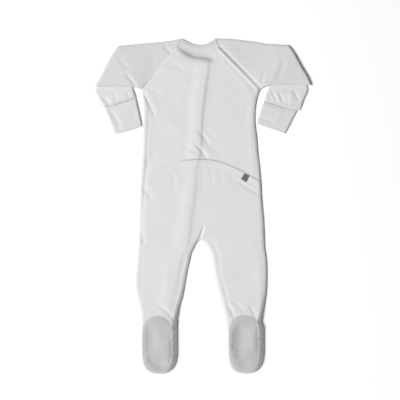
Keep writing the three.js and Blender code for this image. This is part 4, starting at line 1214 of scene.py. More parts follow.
@dataclass
class Foot:
    """One foot: upper with side walls, and its sole.

    Args:
        side: Wearer's side.
        x: Middle of the foot.
        half: Half width of the foot.
        toe_y: End of the toe.
        sole_x: Middle of the sole.
        sole_half: Half width of the sole.
        heel_y: Upper end of the sole.
        tip_y: Lower end of the sole.
        join_left: Height where the leg ends on the left of the heel.
        join_right: Height where the leg ends on the right of the heel.
        height: Height of the sole's seam over the ground.
        floor_roll: Width of the wall's curve under the foot.
        toe: Length of the foot's rounded toe.
        sole_toe: Length of the sole's rounded toe.
        power: Fullness of both toes, two for an ellipse.
        heel: Length of the sole's rounded heel.
        heel_power: Fullness of the heel.
    """

    side: Side
    x: float
    half: float
    toe_y: float
    sole_x: float
    sole_half: float
    heel_y: float
    tip_y: float
    join_left: float
    join_right: float
    height: float = 15.5
    floor_roll: float = 7
    toe: float = 43.7
    sole_toe: float = 39.7
    power: float = 2.6
    heel: float = 30
    heel_power: float = 2.2

    # Section of the side wall: way in to the sole (or, below nought, over the floor), and height
    SECTION = (
        (1, 15.5), (0.7, 12.7), (0.36, 8.7), (0.1, 5.4), (0, 3.4), (-0.12, 1.5), (-0.45, 0.35), (-1, 0),
    )
    WALL_CELLS = (150, 24)
    TOE_POINTS, SIDE_POINTS = 60, 12  # points of the outline round the toe and along each side
    EASE = 14  # length over which the leg's edge eases into the foot's side
    SOLE_GAP = 0.1  # between the wall and the sole
    STEP = 0.004  # share of the outline over which its direction is taken
    PUCKER = 0.45  # how far the gathers of the wall stand out
    PUCKER_WAVES = (151, 37)
    SOLE_PUCKER = 0.4  # height of the gathers at the sole's seam
    SOLE_PUCKER_AT, SOLE_PUCKER_WIDTH = 4, 3.4  # their middle and half width, from the seam inwards
    ARC_POINTS = 90  # points of each rounded end of the sole
    CORNERS = (22, 67)  # those at which its sides and ends meet

    def leg_edges(self) -> tuple[Curve, Curve]:
        """Left and right edges of the leg from the crotch line to the heel.

        Returns:
            The two edges.
        """
        is_left = self.side is Side.LEFT
        outer = down(SIDES, self.side.value, CROTCH[1], self.join_left if is_left else self.join_right)
        inner = down(INSEAM, self.side.value, CROTCH[1], self.join_right if is_left else self.join_left)

        def eased(curve: Curve) -> Curve:
            """The edge with close steps at its start, where the crotch bends."""
            return lambda t: curve(mix(np.atleast_1d(t) ** 2, np.atleast_1d(t), 0.6))

        return (eased(outer), eased(inner)) if is_left else (eased(inner), eased(outer))

    def leg_end(self, x: Array) -> Array:
        """Lower edge of the back leg at x, over the heel of the sole.

        Args:
            x: Places across.

        Returns:
            The heights.
        """
        join = np.where(x < self.sole_x, self.join_left, self.join_right)
        off = np.minimum(1, np.abs(x - self.sole_x) / (self.sole_half + HEEL_SEAM))
        arc = 1 - (1 - off**self.heel_power) ** (1 / self.heel_power)
        return np.maximum(self.heel_y + HEEL_SEAM - (self.heel + HEEL_SEAM) * arc, join)

    def leg_end_line(self, edges: tuple[Curve, Curve]) -> Curve:
        """The same edge as a run between the leg's sides."""
        start, end = (edge([1])[0] for edge in edges)
        return across(start, end, self.leg_end)

    def ankle_y(self, x: Array | float) -> Array:
        """Line across the front of the ankle.

        Args:
            x: Places across.

        Returns:
            The heights.
        """
        flat = self.half - self.floor_roll
        share = np.clip((np.asarray(x) - self.x + flat) / (2 * flat), 0, 1)
        return mix(self.join_left, self.join_right, share) + SEAM

    def half_at(self, y: Array) -> Array:
        """Half width of the sole at height y.

        Args:
            y: Places along.

        Returns:
            The half widths.
        """
        heel_low, toe_high = self.heel_y - self.heel, self.tip_y + self.sole_toe
        is_heel = y > heel_low
        share = np.where(is_heel, (y - heel_low) / self.heel, np.maximum(0, (toe_high - y) / self.sole_toe))
        power = np.where(is_heel, self.heel_power, self.power)
        return self.sole_half * np.maximum(0, 1 - np.clip(share, 0, 1) ** power) ** (1 / power)

    def round_end(self, x: float, half: float, y: float, depth: float, power: float, angle: Array) -> Array:
        """Points of a rounded end, the angle from nought on the left to half a turn on the right.

        Args:
            x: Middle of the end.
            half: Half its width.
            y: Place along at which it starts.
            depth: Its length, below nought for an upper end.
            power: Its fullness, two for an ellipse.
            angle: Angles of the points.

        Returns:
            The points.
        """
        def squeeze(value: Array) -> Array:
            """Signed power of a cosine or sine."""
            return np.sign(value) * np.abs(value) ** (2 / power)

        return np.stack([x - half * squeeze(np.cos(angle)), y - depth * squeeze(np.sin(angle))], axis=1)

    def build(self) -> list[bpy.types.Object]:
        """Make the upper and the sole."""
        return [self.upper(), self.sole()]

    def wall_lines(self) -> tuple[Curve, Curve]:
        """Outline of the foot and the sole's edge beside it, from the left join round the toe.

        Returns:
            Both lines, their shares in step.
        """
        toe_y, sole_toe_y = self.toe_y + self.toe, self.tip_y + self.sole_toe
        turn = np.linspace(0, math.pi, self.TOE_POINTS)
        left = mix(self.join_left - SEAM, toe_y, np.linspace(0, 1, self.SIDE_POINTS, endpoint=False))
        right = mix(toe_y, self.join_right - SEAM, np.linspace(0, 1, self.SIDE_POINTS + 1))[1:]
        ends = self.round_end(self.x, self.half, toe_y, self.toe, self.power, turn)
        leg_left, leg_right = (float(edge([1])[0, 0]) for edge in self.leg_edges())
        left_x = mix(leg_left, self.x - self.half, soft((self.join_left - left) / self.EASE))
        right_x = mix(leg_right, self.x + self.half, soft((self.join_right - right) / self.EASE))
        outer = np.concatenate([
            np.stack([left_x, left], axis=1), ends, np.stack([right_x, right], axis=1),
        ])
        gap = self.SOLE_GAP
        half, toe = self.sole_half + gap, self.sole_toe + gap
        ends = self.round_end(self.sole_x, half, sole_toe_y, toe, self.power, turn)
        inner = np.concatenate([
            np.stack([self.sole_x - self.half_at(left) - gap, left], axis=1), ends,
            np.stack([self.sole_x + self.half_at(right) + gap, right], axis=1),
        ])
        return even_run(outer), paired_run(outer, inner)

    def upper(self) -> bpy.types.Object:
        """Side wall from the sole's seam down to the ground, and the flat front.

        Returns:
            The piece.
        """
        outline, seam = self.wall_lines()
        bm = bmesh.new()
        columns, rows = self.WALL_CELLS
        made = bmesh.ops.create_grid(bm, x_segments=columns, y_segments=rows, size=0.5)["verts"]
        flat = np.array([vertex.co[:2] for vertex in made])
        t, down_share = flat[:, 0] + 0.5, 0.5 - flat[:, 1]
        outer, sole = outline(t), seam(t)
        run = outline(np.minimum(1, t + self.STEP)) - outline(np.maximum(0, t - self.STEP))
        normal = np.stack([run[:, 1], -run[:, 0]], axis=1) / np.linalg.norm(run, axis=1)[:, None]
        inward, z = spline(self.SECTION)(down_share).T
        inset = np.where(inward[:, None] > 0, sole - outer, normal * self.floor_roll)
        z = z * np.minimum(self.height, LEVEL.at("height", outer[:, 1]) + 0.2) / self.height
        quick, slow = self.PUCKER_WAVES
        wave = self.PUCKER * np.sin(t * quick) * np.sin(t * slow + 1)
        pucker = wave * np.sin(math.pi * np.clip(inward, 0, 1)) ** 2
        at = outer + inset * inward[:, None] + normal * pucker[:, None]
        for vertex, co in zip(made, np.column_stack([(at + SHIFT) * MM, z * MM])):
            vertex.co = co
        ground = [edge for edge in bm.edges if all(vertex.co.z < 1e-7 for vertex in edge.verts)]
        bmesh.ops.contextual_create(bm, geom=ground)
        bmesh.ops.recalc_face_normals(bm, faces=bm.faces)
        bm.normal_update()
        low = min(bm.faces, key=lambda face: face.calc_center_median().z)
        if low.normal.z > 0:
            bmesh.ops.reverse_faces(bm, faces=bm.faces)
        name = f"foot_{self.side.value}"
        obj = make_piece(f"{name}_cloth", bm, JERSEY, [name], SHELL)
        declare(obj, 112, 112)
        return obj

    def outline_of_sole(self, inset: float = 0) -> tuple[Curve, Curve, Curve, Curve]:
        """Left side, right side, heel and toe of the sole, as runs for a patch.

        Args:
            inset: Distance inside the sole's edge.

        Returns:
            The four runs.
        """
        half, heel, toe = self.sole_half - inset, self.heel - inset, self.sole_toe - inset
        heel_low, toe_high = self.heel_y - self.heel, self.tip_y + self.sole_toe
        turn = np.linspace(0, math.pi, self.ARC_POINTS)
        top = self.round_end(self.sole_x, half, heel_low, -heel, self.heel_power, turn)
        low = self.round_end(self.sole_x, half, toe_high, toe, self.power, turn)
        a, b = self.CORNERS
        return (
            even_run(np.concatenate([top[: a + 1][::-1], low[: a + 1]])),
            even_run(np.concatenate([top[b:], low[b:][::-1]])),
            even_run(top[a : b + 1]),
            even_run(low[a : b + 1]),
        )

    def sole_rim(self, inset: float = 0) -> Array:
        """Run all round the sole, at a distance inside its edge.

        Args:
            inset: Distance inside the sole's edge.

        Returns:
            The run.
        """
        left, right, top, low = self.outline_of_sole(inset)
        return np.concatenate([
            sample(left, 60), sample(low, 40), sample(right, 60)[::-1], sample(top, 40)[::-1],
        ])

    def sole_top(self, at: Array) -> Array:
        """Height of the sole, sunk in the middle and level at its seam.

        Args:
            at: Points of the pattern.

        Returns:
            The heights.
        """
        gap, _ = nearest([self.sole_rim()], at)
        inside = soft(gap / 9)
        dents = raised(SOLE_FOLDS, at)
        level = np.minimum(self.height, LEVEL.at("height", at[:, 1]) + 0.2)
        turn = np.arctan2((at[:, 1] - self.toe_y - self.toe) / 1.9, at[:, 0] - self.sole_x)
        near_seam = np.exp(-(((gap - self.SOLE_PUCKER_AT) / self.SOLE_PUCKER_WIDTH) ** 2))
        puckers = self.SOLE_PUCKER * np.sin(29 * turn + 2.4 * np.sin(5 * turn)) * near_seam
        edge = 0.4 * soft(gap / 2.5) + puckers * (0.6 + 0.4 * np.sin(2 * turn + 1))
        return level - 0.1 + edge + inside * (0.6 + dents + 2.6 * ripple(at * 1.6))

    def sole(self) -> bpy.types.Object:
        """Thin sunk sheet with a rounded heel and toe.

        Returns:
            The piece.
        """
        left, right, top, low = self.outline_of_sole()
        rows = [sample(curve, 60) for curve in self.outline_of_sole(2.6)]
        grooves = [Groove(row, 0.3, 0.9) for row in rows]

        def height(at: Array, s: Array, v: Array, border: Array) -> Array:
            """Heights of the sole with its stitched edge."""
            return self.sole_top(at) + raised(grooves, at)

        bm = bmesh.new()
        lay_grid(bm, Grid(cells(70), cells(120), tight=(False,) * 4), patch(left, right, top, low), height)
        name = f"sole_{self.side.value}"
        obj = make_piece(f"{name}_cloth", bm, SHADED_SOLE_JERSEY, [name], SHELL)
        declare(obj, 56, 106)
        return obj


def even_run(points: Array) -> Curve:
    """Line through points, its shares even along its length."""
    return paired_run(points, points)


def paired_run(guide: Array, points: Array) -> Curve:
    """Line through points whose shares follow a guide line with as many points.

    Args:
        guide: Line that gives the shares.
        points: Points of the line.

    Returns:
        The line.
    """
    steps = np.linalg.norm(np.diff(guide, axis=0), axis=1)
    marks = np.concatenate([[0], np.cumsum(steps)]) / steps.sum()
    return lambda t: np.stack([np.interp(np.atleast_1d(t), marks, points[:, k]) for k in (0, 1)], axis=1)


FEET = (
    Foot(Side.LEFT, -78.9, 33, -302, -80.5, 27.1, -196.4, -298.2, -219.8, -213.4),
    Foot(Side.RIGHT, 77, 33.6, -301.6, 74.8, 27.1, -194.2, -296.8, -219.8, -206),
)


def closed_tube(bm: bmesh.types.BMesh, grid: Grid, spot: Spot, free: Sequence[Array], roll: float,
                floor: Height, top: Height, shut: tuple[bool, bool]) -> None:
    """Add a flat tube: two faces that meet at mid height along its sides.

    Args:
        bm: Mesh to add to.
        grid: Cells of each face.
        spot: Patch of the pattern.
        free: Edges along which the faces meet.
        roll: Width of the rolled edge.
        floor: Height of the lower face.
        top: Height of the upper face.
        shut: Whether the faces meet at the start and at the end too.
    """
    def middle(at: Array, s: Array, v: Array) -> Array:
        """Height at which the faces meet."""
        return (floor(at, s, v) + top(at, s, v)) / 2

    on = (True, True, *shut)
    for face, up in ((top, True), (floor, False)):
        lay_grid(bm, grid, spot, rolled(free, roll, middle, face, on), up)


RAGLAN_TROUGH = Groove(traced((31, 289.6), (50.3, 270.1), (77.5, 242.4), (106, 213)), 1.7, 2.8)


@dataclass
class Sleeve:
    """One sleeve: upper arm, forearm folded under it, and cuff.

    Args:
        side: Wearer's side.
        neck: Raglan seam from the neck to the armpit.
        shoulder: Edge from the neck to the fold.
        elbow: Fold from the shoulder to the underarm.
        underarm: Edge from the armpit to the fold.
        hidden: End of the forearm under the upper arm.
        inner: Inner edge of the forearm.
        outer: Outer edge of the forearm.
        wrist: Seam of the forearm and the cuff.
        cuff: Head, inner edge, outer edge and open end of the cuff.
        level: Height of the upper arm where it lies on the ground.
        lift: Height that the forearm under it adds.
        roll: Width of the upper arm's rolled edge.
        fold: Distance over which the lower face falls at the elbow.
        shoulder_fall: Distance over which it falls at the shoulder's edge.
        forearm_level: Height of the forearm.
        hidden_level: Its height under the upper arm.
        forearm_roll: Width of the forearm's rolled edge.
        cuff_level: Height of the cuff.
        cuff_roll: Width of the cuff's rolled edge.
        hem: Distance of the hem's stitches from the open end.
    """

    side: Side
    neck: tuple
    shoulder: tuple
    elbow: tuple
    underarm: tuple
    hidden: tuple
    inner: tuple
    outer: tuple
    wrist: tuple
    cuff: tuple
    level: float = 4.8
    lift: float = 4.2
    roll: float = 3.8
    fold: float = 6
    shoulder_fall: float = 8
    forearm_level: float = 5.4
    hidden_level: float = 3.7
    forearm_roll: float = 3.2
    cuff_level: float = 4.8
    cuff_roll: float = 2.6
    hem: float = 4.6

    def build(self) -> list[bpy.types.Object]:
        """Make the three stretches."""
        return [self.upper_arm(), self.forearm(), self.cuff_tube()]

    def _oriented(self, *runs: Array) -> list[Array]:
        """Runs with the cloth on their left, given for the left sleeve."""
        return list(runs) if self.side is Side.LEFT else [run[::-1] for run in runs]

    def arm_spot(self) -> Spot:
        """Patch of the upper arm: s from the shoulder to the underarm, v from the neck to the fold."""
        return patch(spline(self.shoulder), spline(self.underarm), straight(self.neck), spline(self.elbow))

    def _over(self, s: Array, v: Array) -> Array:
        """How far a place lies past the inner edge of the forearm under it, as a share."""
        return v - (0.95 - 0.9 * (s - 0.15))

    def arm_lift(self, s: Array, v: Array) -> Array:
        """Height that the forearm under it gives the upper arm."""
        return self.lift * soft((self._over(s, v) + 0.2) / 0.17)

    def arm_top(self, at: Array, s: Array, v: Array) -> Array:
        """Height of the upper arm's upper face, which rises more gently than its floor.

        Args:
            at: Points of the pattern.
            s: Shares across.
            v: Shares along.

        Returns:
            The heights.
        """
        details = raised((*SLEEVE_FOLDS, RAGLAN_TROUGH), at)
        rise = self.lift * soft((self._over(s, v) + 0.35) / 0.55)
        return self.level + rise + details + ripple(at * 1.1 + 30)

    def upper_arm(self) -> bpy.types.Object:
        """Upper arm, which rolls down over the fold.

        Returns:
            The piece.
        """
        spot = self.arm_spot()

        def floor(at: Array, s: Array, v: Array) -> Array:
            """Height of the lower face, which rests on the forearm and falls to the ground past it.

            Args:
                at: Points of the pattern.
                s: Shares across.
                v: Shares along.

            Returns:
                The heights.
            """
            none, full = np.zeros(len(s)), np.ones(len(s))
            length = np.linalg.norm(spot(s, none) - spot(s, full), axis=1)
            width = np.linalg.norm(spot(none, v) - spot(full, v), axis=1)
            near = soft((1 - v) * length / self.fold) * soft(s * width / self.shoulder_fall)
            return self.arm_lift(s, v) * near

        edges = [sample(spline(run), 40) for run in (self.shoulder, self.elbow)] + [
            sample(backwards(spline(self.underarm)), 40)
        ]
        free = self._oriented(np.concatenate(edges))
        grid = Grid(cells(95), cells(130), tight=(True, True, False, True), length=115)
        bm = bmesh.new()
        closed_tube(bm, grid, spot, free, self.roll, floor, self.arm_top, (False, True))
        name = f"sleeve_{self.side.value}"
        obj = make_piece(f"{name}_cloth", bm, SHADED_SLEEVE_JERSEY, [name], SHELL)
        declare(obj, 200, 165)
        return obj

    def forearm_top(self, at: Array, s: Array, v: Array) -> Array:
        """Height of the forearm, low where the upper arm covers it.

        Args:
            at: Points of the pattern.
            s: Shares across.
            v: Shares along.

        Returns:
            The heights.
        """
        shown = self.forearm_level + raised(FOREARM_FOLDS, at) + 0.6 * ripple(at * 1.7)
        gather = 0.25 * np.sin(s * 44 + 2 * np.sin(s * 9)) * soft((v - 0.78) / 0.2)
        sink = 2.1 * soft((v - 0.84) / 0.16)
        return mix(self.hidden_level, shown + gather - sink, soft((213 - at[:, 1]) / 14))

    def forearm(self) -> bpy.types.Object:
        """Forearm from under the fold to the wrist.

        Returns:
            The piece.
        """
        a, b, end, seam = (spline(run) for run in (self.inner, self.outer, self.hidden, self.wrist))
        run = np.concatenate([sample(backwards(a), 30), sample(end, 30), sample(b, 30)])
        grid = Grid(cells(80), cells(95), self.forearm_roll, (True, True, True, False), 70)
        bm = bmesh.new()
        closed_tube(bm, grid, patch(a, b, end, seam), self._oriented(run), self.forearm_roll,
                    flat_at(0), self.forearm_top, (True, False))
        name = f"forearm_{self.side.value}"
        obj = make_piece(f"{name}_cloth", bm, JERSEY, [name], SHELL)
        declare(obj, 150, 100)
        return obj

    def cuff_top(self, at: Array, s: Array, v: Array) -> Array:
        """Height of the cuff with its folds and the row of stitches above its hem.

        Args:
            at: Points of the pattern.
            s: Shares across.
            v: Shares along.

        Returns:
            The heights.
        """
        hem = Groove(sample(spline(self.cuff[3]), 12) + np.array([0, self.hem]), 0.35, 1)
        head = Groove(sample(spline(self.cuff[0]), 12), 1.6, 4)
        details = raised((*CUFF_FOLDS, hem, head), at)
        return self.cuff_level + details + 0.6 * ripple(at * 1.6 + 11)

    def cuff_spot(self) -> Spot:
        """Patch of the cuff."""
        head, inner, outer, hem = (spline(run) for run in self.cuff)
        return patch(inner, outer, head, hem)

    def cuff_tube(self) -> bpy.types.Object:
        """Cuff, open at both ends.

        Returns:
            The piece.
        """
        runs = self._oriented(sample(spline(self.cuff[1]), 24)[::-1], sample(spline(self.cuff[2]), 24))
        bm = bmesh.new()
        closed_tube(bm, Grid(cells(75), cells(55), self.cuff_roll), self.cuff_spot(), runs, self.cuff_roll,
                    flat_at(0), self.cuff_top, (False, False))
        name = f"cuff_{self.side.value}"
        obj = make_piece(f"{name}_cloth", bm, DOUBLED, [name], SHELL)
        declare(obj, 120, 56)
        return obj


SLEEVES = (
    Sleeve(
        Side.LEFT,
        neck=((-38.6, 302.6), (-44.4, 291.2), (-64, 265.6), (-88, 236.8), (-110.4, 210.6)),
        shoulder=((-38.6, 302.6), (-54.9, 299.2), (-76, 296.3), (-112, 293.2), (-152, 289)),
        elbow=((-152, 289), (-161.5, 276), (-175.5, 251.5), (-187, 229), (-194.6, 215)),
        underarm=((-110.4, 210.6), (-121, 213.8), (-140, 215.8), (-165, 216), (-194.6, 215)),
        hidden=((-151, 279), (-169.5, 248), (-184, 220.5)),
        inner=((-151, 279), (-137.5, 246), (-125.3, 212), (-119.8, 196.4)),
        outer=((-184, 220.5), (-193.8, 210), (-189, 197), (-180.5, 182.2)),
        wrist=((-119.8, 196.4), (-139, 189.6), (-160, 183.4), (-180.5, 182.2)),
        cuff=(
            ((-119.8, 195.6), (-139, 188.8), (-160, 182.6), (-178, 181.3)),
            ((-119.8, 195.6), (-116.6, 180), (-112.6, 163), (-109.2, 145.2)),
            ((-178, 181.3), (-172.6, 166), (-164.5, 147), (-158.8, 130.6)),
            ((-109.2, 145.2), (-134, 136.4), (-158.8, 130.6)),
        ),
    ),
    Sleeve(
        Side.RIGHT,
        neck=((23.6, 302.9), (28.4, 286.9), (47.6, 267.5), (74.8, 239.7), (104.1, 210.6)),
        shoulder=((23.6, 302.9), (56.7, 301.2), (94.5, 296.6), (115, 293.2), (155, 290.6)),
        elbow=((155, 290.6), (165, 277), (178, 253), (190, 233), (196, 218)),
        underarm=((104.1, 210.6), (112, 215.6), (132, 217.8), (168, 219.4), (196, 218)),
        hidden=((152, 281), (170, 250), (187, 223)),
        inner=((152, 281), (135, 246), (117.5, 211), (110.2, 189.2)),
        outer=((187, 223), (189.8, 209), (183, 194), (176, 173.6)),
        wrist=((110.2, 189.2), (127, 184.6), (150, 178), (176, 173.6)),
        cuff=(
            ((110.2, 188.4), (127, 183.8), (150, 177.2), (171.5, 173.6)),
            ((110.2, 188.4), (104.6, 173), (100.6, 160), (97.8, 149.4)),
            ((171.5, 173.6), (164.5, 162), (156.5, 146), (149, 131.4)),
            ((97.8, 149.4), (122, 140.8), (149, 131.4)),
        ),
    ),
)


@dataclass
class NeckBands:
    """Doubled bands at the back and the front of the neck.

    Args:
        back_thick: Thickness of the back band.
        front_thick: Thickness of the front band.
        back_level: Height of the back band.
        roll: Width of a band's rounded edge.
    """

    back_thick: float = 2.2
    front_thick: float = 2.0
    back_level: float = 4.4
    roll: float = 0.6

    BACK_OUTER = (
        (-38.2, 302.4), (-29.7, 298.6), (-20.7, 294.3), (-6.3, 291.4), (6.3, 292.9), (15.3, 297.9),
        (23.2, 302.6),
    )
    BACK_INNER = (
        (-44.1, 291.4), (-38.5, 285.4), (-28.5, 280.3), (-8, 275), (8.1, 275.4), (18.9, 279), (28.2, 287),
    )
    FRONT_OUTER = ((-42, 289), (-31, 284), (-14, 277), (6.3, 271.8), (20, 272.4), (28, 279.6))
    FRONT_INNER = ((-46.4, 284), (-36, 276), (-18.9, 267.5), (6.3, 260.6), (24, 261.4), (37, 273.4))

    @staticmethod
    def _edge_y(points: Sequence[tuple[float, float]], x: Array) -> Array:
        """Height of a lower edge at x."""
        profile = Profile(("edge",), tuple((-px, py) for px, py in points))
        return profile.at("edge", -np.asarray(x))

    @classmethod
    def inner_y(cls, x: Array) -> Array:
        """Height of the back band's lower edge at x."""
        return cls._edge_y(cls.BACK_INNER, x)

    @classmethod
    def front_y(cls, x: Array) -> Array:
        """Height of the front band's lower edge at x."""
        return cls._edge_y(cls.FRONT_INNER, x)

    def stitch_rows(self) -> list[Array]:
        """The two rows of stitches of the back band."""
        upper, lower = sample(spline(self.BACK_OUTER), 60), sample(spline(self.BACK_INNER), 60)
        return [mix(upper, lower, share)[3:-3] for share in (0.62, 0.86)]

    def top(self, at: Array, s: Array, v: Array) -> Array:
        """Height of the back band's upper face.

        Args:
            at: Points of the pattern.
            s: Shares across.
            v: Shares along.

        Returns:
            The heights.
        """
        rows = raised([Groove(run, 0.6, 1.2) for run in self.stitch_rows()], at)
        gathers = 0.07 * np.sin(at[:, 0] * 1.15 + 1.4 * np.sin(at[:, 0] / 7))
        fall = 1.1 * soft((s - 0.4) / 0.6)
        return self.back_level + rows + gathers - fall + 0.5 * ripple(at * 1.5)

    def build(self) -> list[bpy.types.Object]:
        """Make both bands.

        Returns:
            Both pieces.
        """
        low = self.back_level - self.back_thick
        back = self._band("neckband_back", self.BACK_OUTER, self.BACK_INNER, flat_at(low), self.top)
        high = self.front_thick
        front = self._band("neckband_front", self.FRONT_OUTER, self.FRONT_INNER, flat_at(0), flat_at(high))
        declare(back, 20, 82, 2)
        declare(front, 15, 100, 2)
        return [back, front]

    def _band(self, name: str, outer: tuple, inner: tuple, floor: Height, top: Height) -> bpy.types.Object:
        """Closed band between two lines.

        Args:
            name: Name of the solid.
            outer: Points of its upper edge.
            inner: Points of its lower edge.
            floor: Height of its lower face.
            top: Height of its upper face.

        Returns:
            The piece.
        """
        a, b = spline(inner), spline(outer)
        loop = np.concatenate([sample(a, 60), sample(b, 60)[::-1]])
        spot = patch(a, b, across(a([0])[0], b([0])[0]), across(a([1])[0], b([1])[0]))
        bm = bmesh.new()
        grid = Grid(24, 110, self.roll, (True, True, True, True), 80)
        closed_tube(bm, grid, spot, [loop], self.roll, floor, top, (True, True))
        return make_piece(f"{name}_cloth", bm, DOUBLED, [name])


@dataclass
class FrontPanels:
    """Front of the garment, flat on the ground, with its placket and press studs.

    Args:
        wall: Thickness of a panel.
        placket: Width of the placket.
        gap: Gap beside the placket.
        stud_count: Number of studs.
        stud_first: Height of the highest stud on the pattern.
        stud_pitch: Distance between studs.
        stud_radius: Radius of a stud.
        stud_thick: Thickness of a stud.
        stud_bevel: Width of its rounded rim.
        faces: Heights of the placket's lower and upper face.
        neck_skip: Shares of the left and right raglan seams that the front neck band takes.
    """

    wall: float = 1.2
    placket: float = 20
    gap: float = 1
    stud_count: int = 8
    stud_first: float = 243
    stud_pitch: float = 58
    stud_radius: float = 4.6
    stud_thick: float = 0.5
    stud_bevel: float = 0.15
    faces: tuple[float, float] = (0.9, 2.9)
    neck_skip: tuple[float, float] = (0.075, 0.17)

    def opening(self, y: Array | float) -> Array:
        """Edge of the placket at height y."""
        return OPENING.at("x", np.asarray(y, float))

    def strip(self, start: float, end: float, off: float) -> Curve:
        """Line beside the placket between two heights.

        Args:
            start: Height at which the line starts.
            end: Height at which it ends.
            off: Distance from the placket's edge, below nought on its left.

        Returns:
            The line.
        """
        def curve(t: Array) -> Array:
            """Points of the line at shares t."""
            y = mix(start, end, shares_of(t))
            return np.stack([self.opening(y) + off, y], axis=1)

        return curve

    def side(self, side: Side, skip: float, end: float) -> Curve:
        """Raglan seam below the front neck band, and on down the side."""
        raglan = straight(RAGLAN[side])
        return chain(lambda t: raglan(mix(skip, 1, t)), down(SIDES, side.value, ARMPIT_Y, end), 0.3)

    def build(self) -> list[bpy.types.Object]:
        """Make the panels, the placket and the studs."""
        return [self.left(), self.right(), self.placket_strip(), self.studs()]

    def left(self) -> bpy.types.Object:
        """Front beside the placket, on the wearer's left.

        Returns:
            The piece.
        """
        foot = FEET[0]
        left = self.side(Side.LEFT, self.neck_skip[0], foot.join_left + SEAM)
        off = -self.placket - self.gap
        top_x = float(self.opening(268)) + off
        top_y = float(NeckBands.front_y(top_x)) - self.gap
        right = self.strip(top_y, float(foot.ankle_y(self.opening(-218) + off)), off)
        start = left([0])[0]

        def neck(t: Array) -> Array:
            """Upper edge under the neck band.

            Args:
                t: Shares of the run.

            Returns:
                The points.
            """
            x = mix(start[0], top_x, np.atleast_1d(t))
            y = mix(start[1], NeckBands.front_y(x) - self.gap, np.minimum(1, np.atleast_1d(t) * 8))
            return np.stack([x, y], axis=1)

        bm = bmesh.new()
        spot = patch(left, right, neck, across(left([1])[0], right([1])[0]))
        lay_grid(bm, Grid(24, 110, tight=(False,) * 4), spot, flat_at(self.wall))
        obj = make_piece("front_left_cloth", bm, JERSEY, ["front_left"], self.wall)
        declare(obj, 115, 510)
        return obj

    def right(self) -> bpy.types.Object:
        """Front on the wearer's right, with the crotch and the inner strip of the left leg.

        Returns:
            The piece.
        """
        left_foot, right_foot = FEET
        right = self.side(Side.RIGHT, self.neck_skip[1], CROTCH[1])
        start_x = float(self.opening(262)) + self.gap
        edge = self.strip(float(NeckBands.front_y(start_x)) - self.gap, CROTCH[1], self.gap)
        share = (CROTCH[0] - edge([1])[0, 0]) / (right([1])[0, 0] - edge([1])[0, 0])

        def neck_y(x: Array) -> Array:
            """Upper edge under the neck band."""
            return NeckBands.front_y(x) - self.gap

        def middle(t: Array) -> Array:
            """Line that parts the panel's two patches.

            Args:
                t: Shares of the run.

            Returns:
                The points.
            """
            points = mix(edge(t), right(t), share)
            ends = np.atleast_1d(t) == 0
            points[ends, 1] = neck_y(points[ends, 0])
            return points

        bm = bmesh.new()
        flat = flat_at(self.wall)
        plain = (False,) * 4
        body = cells(330) // 2
        narrow, wide, leg_rows = 12, 30, 60
        for columns, pair in ((narrow, (edge, middle)), (wide, (middle, right))):
            start, end = ([run([k])[0] for run in pair] for k in (0, 1))
            spot = patch(*pair, across(*start, neck_y), across(*end))
            lay_grid(bm, Grid(columns, body, tight=plain), spot, flat)
        inner = left_foot.leg_edges()[1]
        strip = self.strip(CROTCH[1], float(left_foot.ankle_y(self.opening(-215))), self.gap)
        for columns, foot, pair in (
            (narrow, left_foot, (strip, inner)), (wide, right_foot, right_foot.leg_edges()),
        ):
            start = [run([0])[0] for run in pair]
            spot = patch(*pair, across(*start), self._ankle(foot, *pair))
            lay_grid(bm, Grid(columns, leg_rows, tight=plain), spot, flat)
        obj = make_piece("front_right_cloth", bm, JERSEY, ["front_right"], self.wall)
        declare(obj, 180, 500)
        return obj

    @staticmethod
    def _ankle(foot: Foot, left: Curve, right: Curve) -> Curve:
        """Lower end of a front leg between its two sides.

        Args:
            foot: Foot that the leg meets.
            left: Left side of the leg.
            right: Right side of the leg.

        Returns:
            The line.
        """
        start, end = left([1])[0], right([1])[0]

        def curve(t: Array) -> Array:
            """Points of the end at shares t.

            Args:
                t: Shares of the run.

            Returns:
                The points.
            """
            t = shares_of(t)
            x = mix(start[0], end[0], t)
            corner = np.where(t < 0.5, start[1], end[1])
            return np.stack([x, mix(foot.ankle_y(x), corner, np.abs(2 * t - 1) ** 8)], axis=1)

        return curve

    def placket_strip(self) -> bpy.types.Object:
        """Doubled strip between the two fronts.

        Returns:
            The piece.
        """
        foot = FEET[0]
        low, high = self.faces
        runs = []
        for off in (-self.placket, 0):
            beside = off - self.gap if off else 0
            x = float(self.opening(265)) + off
            start = float(NeckBands.front_y(x)) - self.gap
            runs.append(self.strip(start, float(foot.ankle_y(self.opening(-217) + beside)), off))
        ends = [across(runs[0]([k])[0], runs[1]([k])[0]) for k in (0, 1)]
        bm = bmesh.new()
        lay_grid(bm, Grid(10, 120, tight=(False,) * 4), patch(*runs, *ends), flat_at(high))
        obj = make_piece("placket_cloth", bm, JERSEY, ["placket"], high - low)
        declare(obj, 22, 500)
        return obj

    def studs(self) -> bpy.types.Object:
        """Row of plain round studs under the placket.

        Returns:
            The piece.
        """
        bm = bmesh.new()
        radius, depth = self.stud_radius * MM, self.stud_thick * MM
        for k in range(self.stud_count):
            y = self.stud_first - self.stud_pitch * k
            x = float(self.opening(y)) - self.placket / 2
            place = Matrix.Translation((*((np.array([x, y]) + SHIFT) * MM), depth / 2))
            bmesh.ops.create_cone(bm, cap_ends=True, segments=40, radius1=radius, radius2=radius,
                                  depth=depth, matrix=place)
        rims = [edge for edge in bm.edges if abs(edge.verts[0].co.z - edge.verts[1].co.z) < 1e-7]
        bmesh.ops.bevel(bm, geom=rims, offset=self.stud_bevel * MM, segments=3, profile=0.5,
                        affect="EDGES", material=-1)
        return make_piece("snap_studs", bm, STEEL, [f"snap_{k + 1}" for k in range(self.stud_count)])


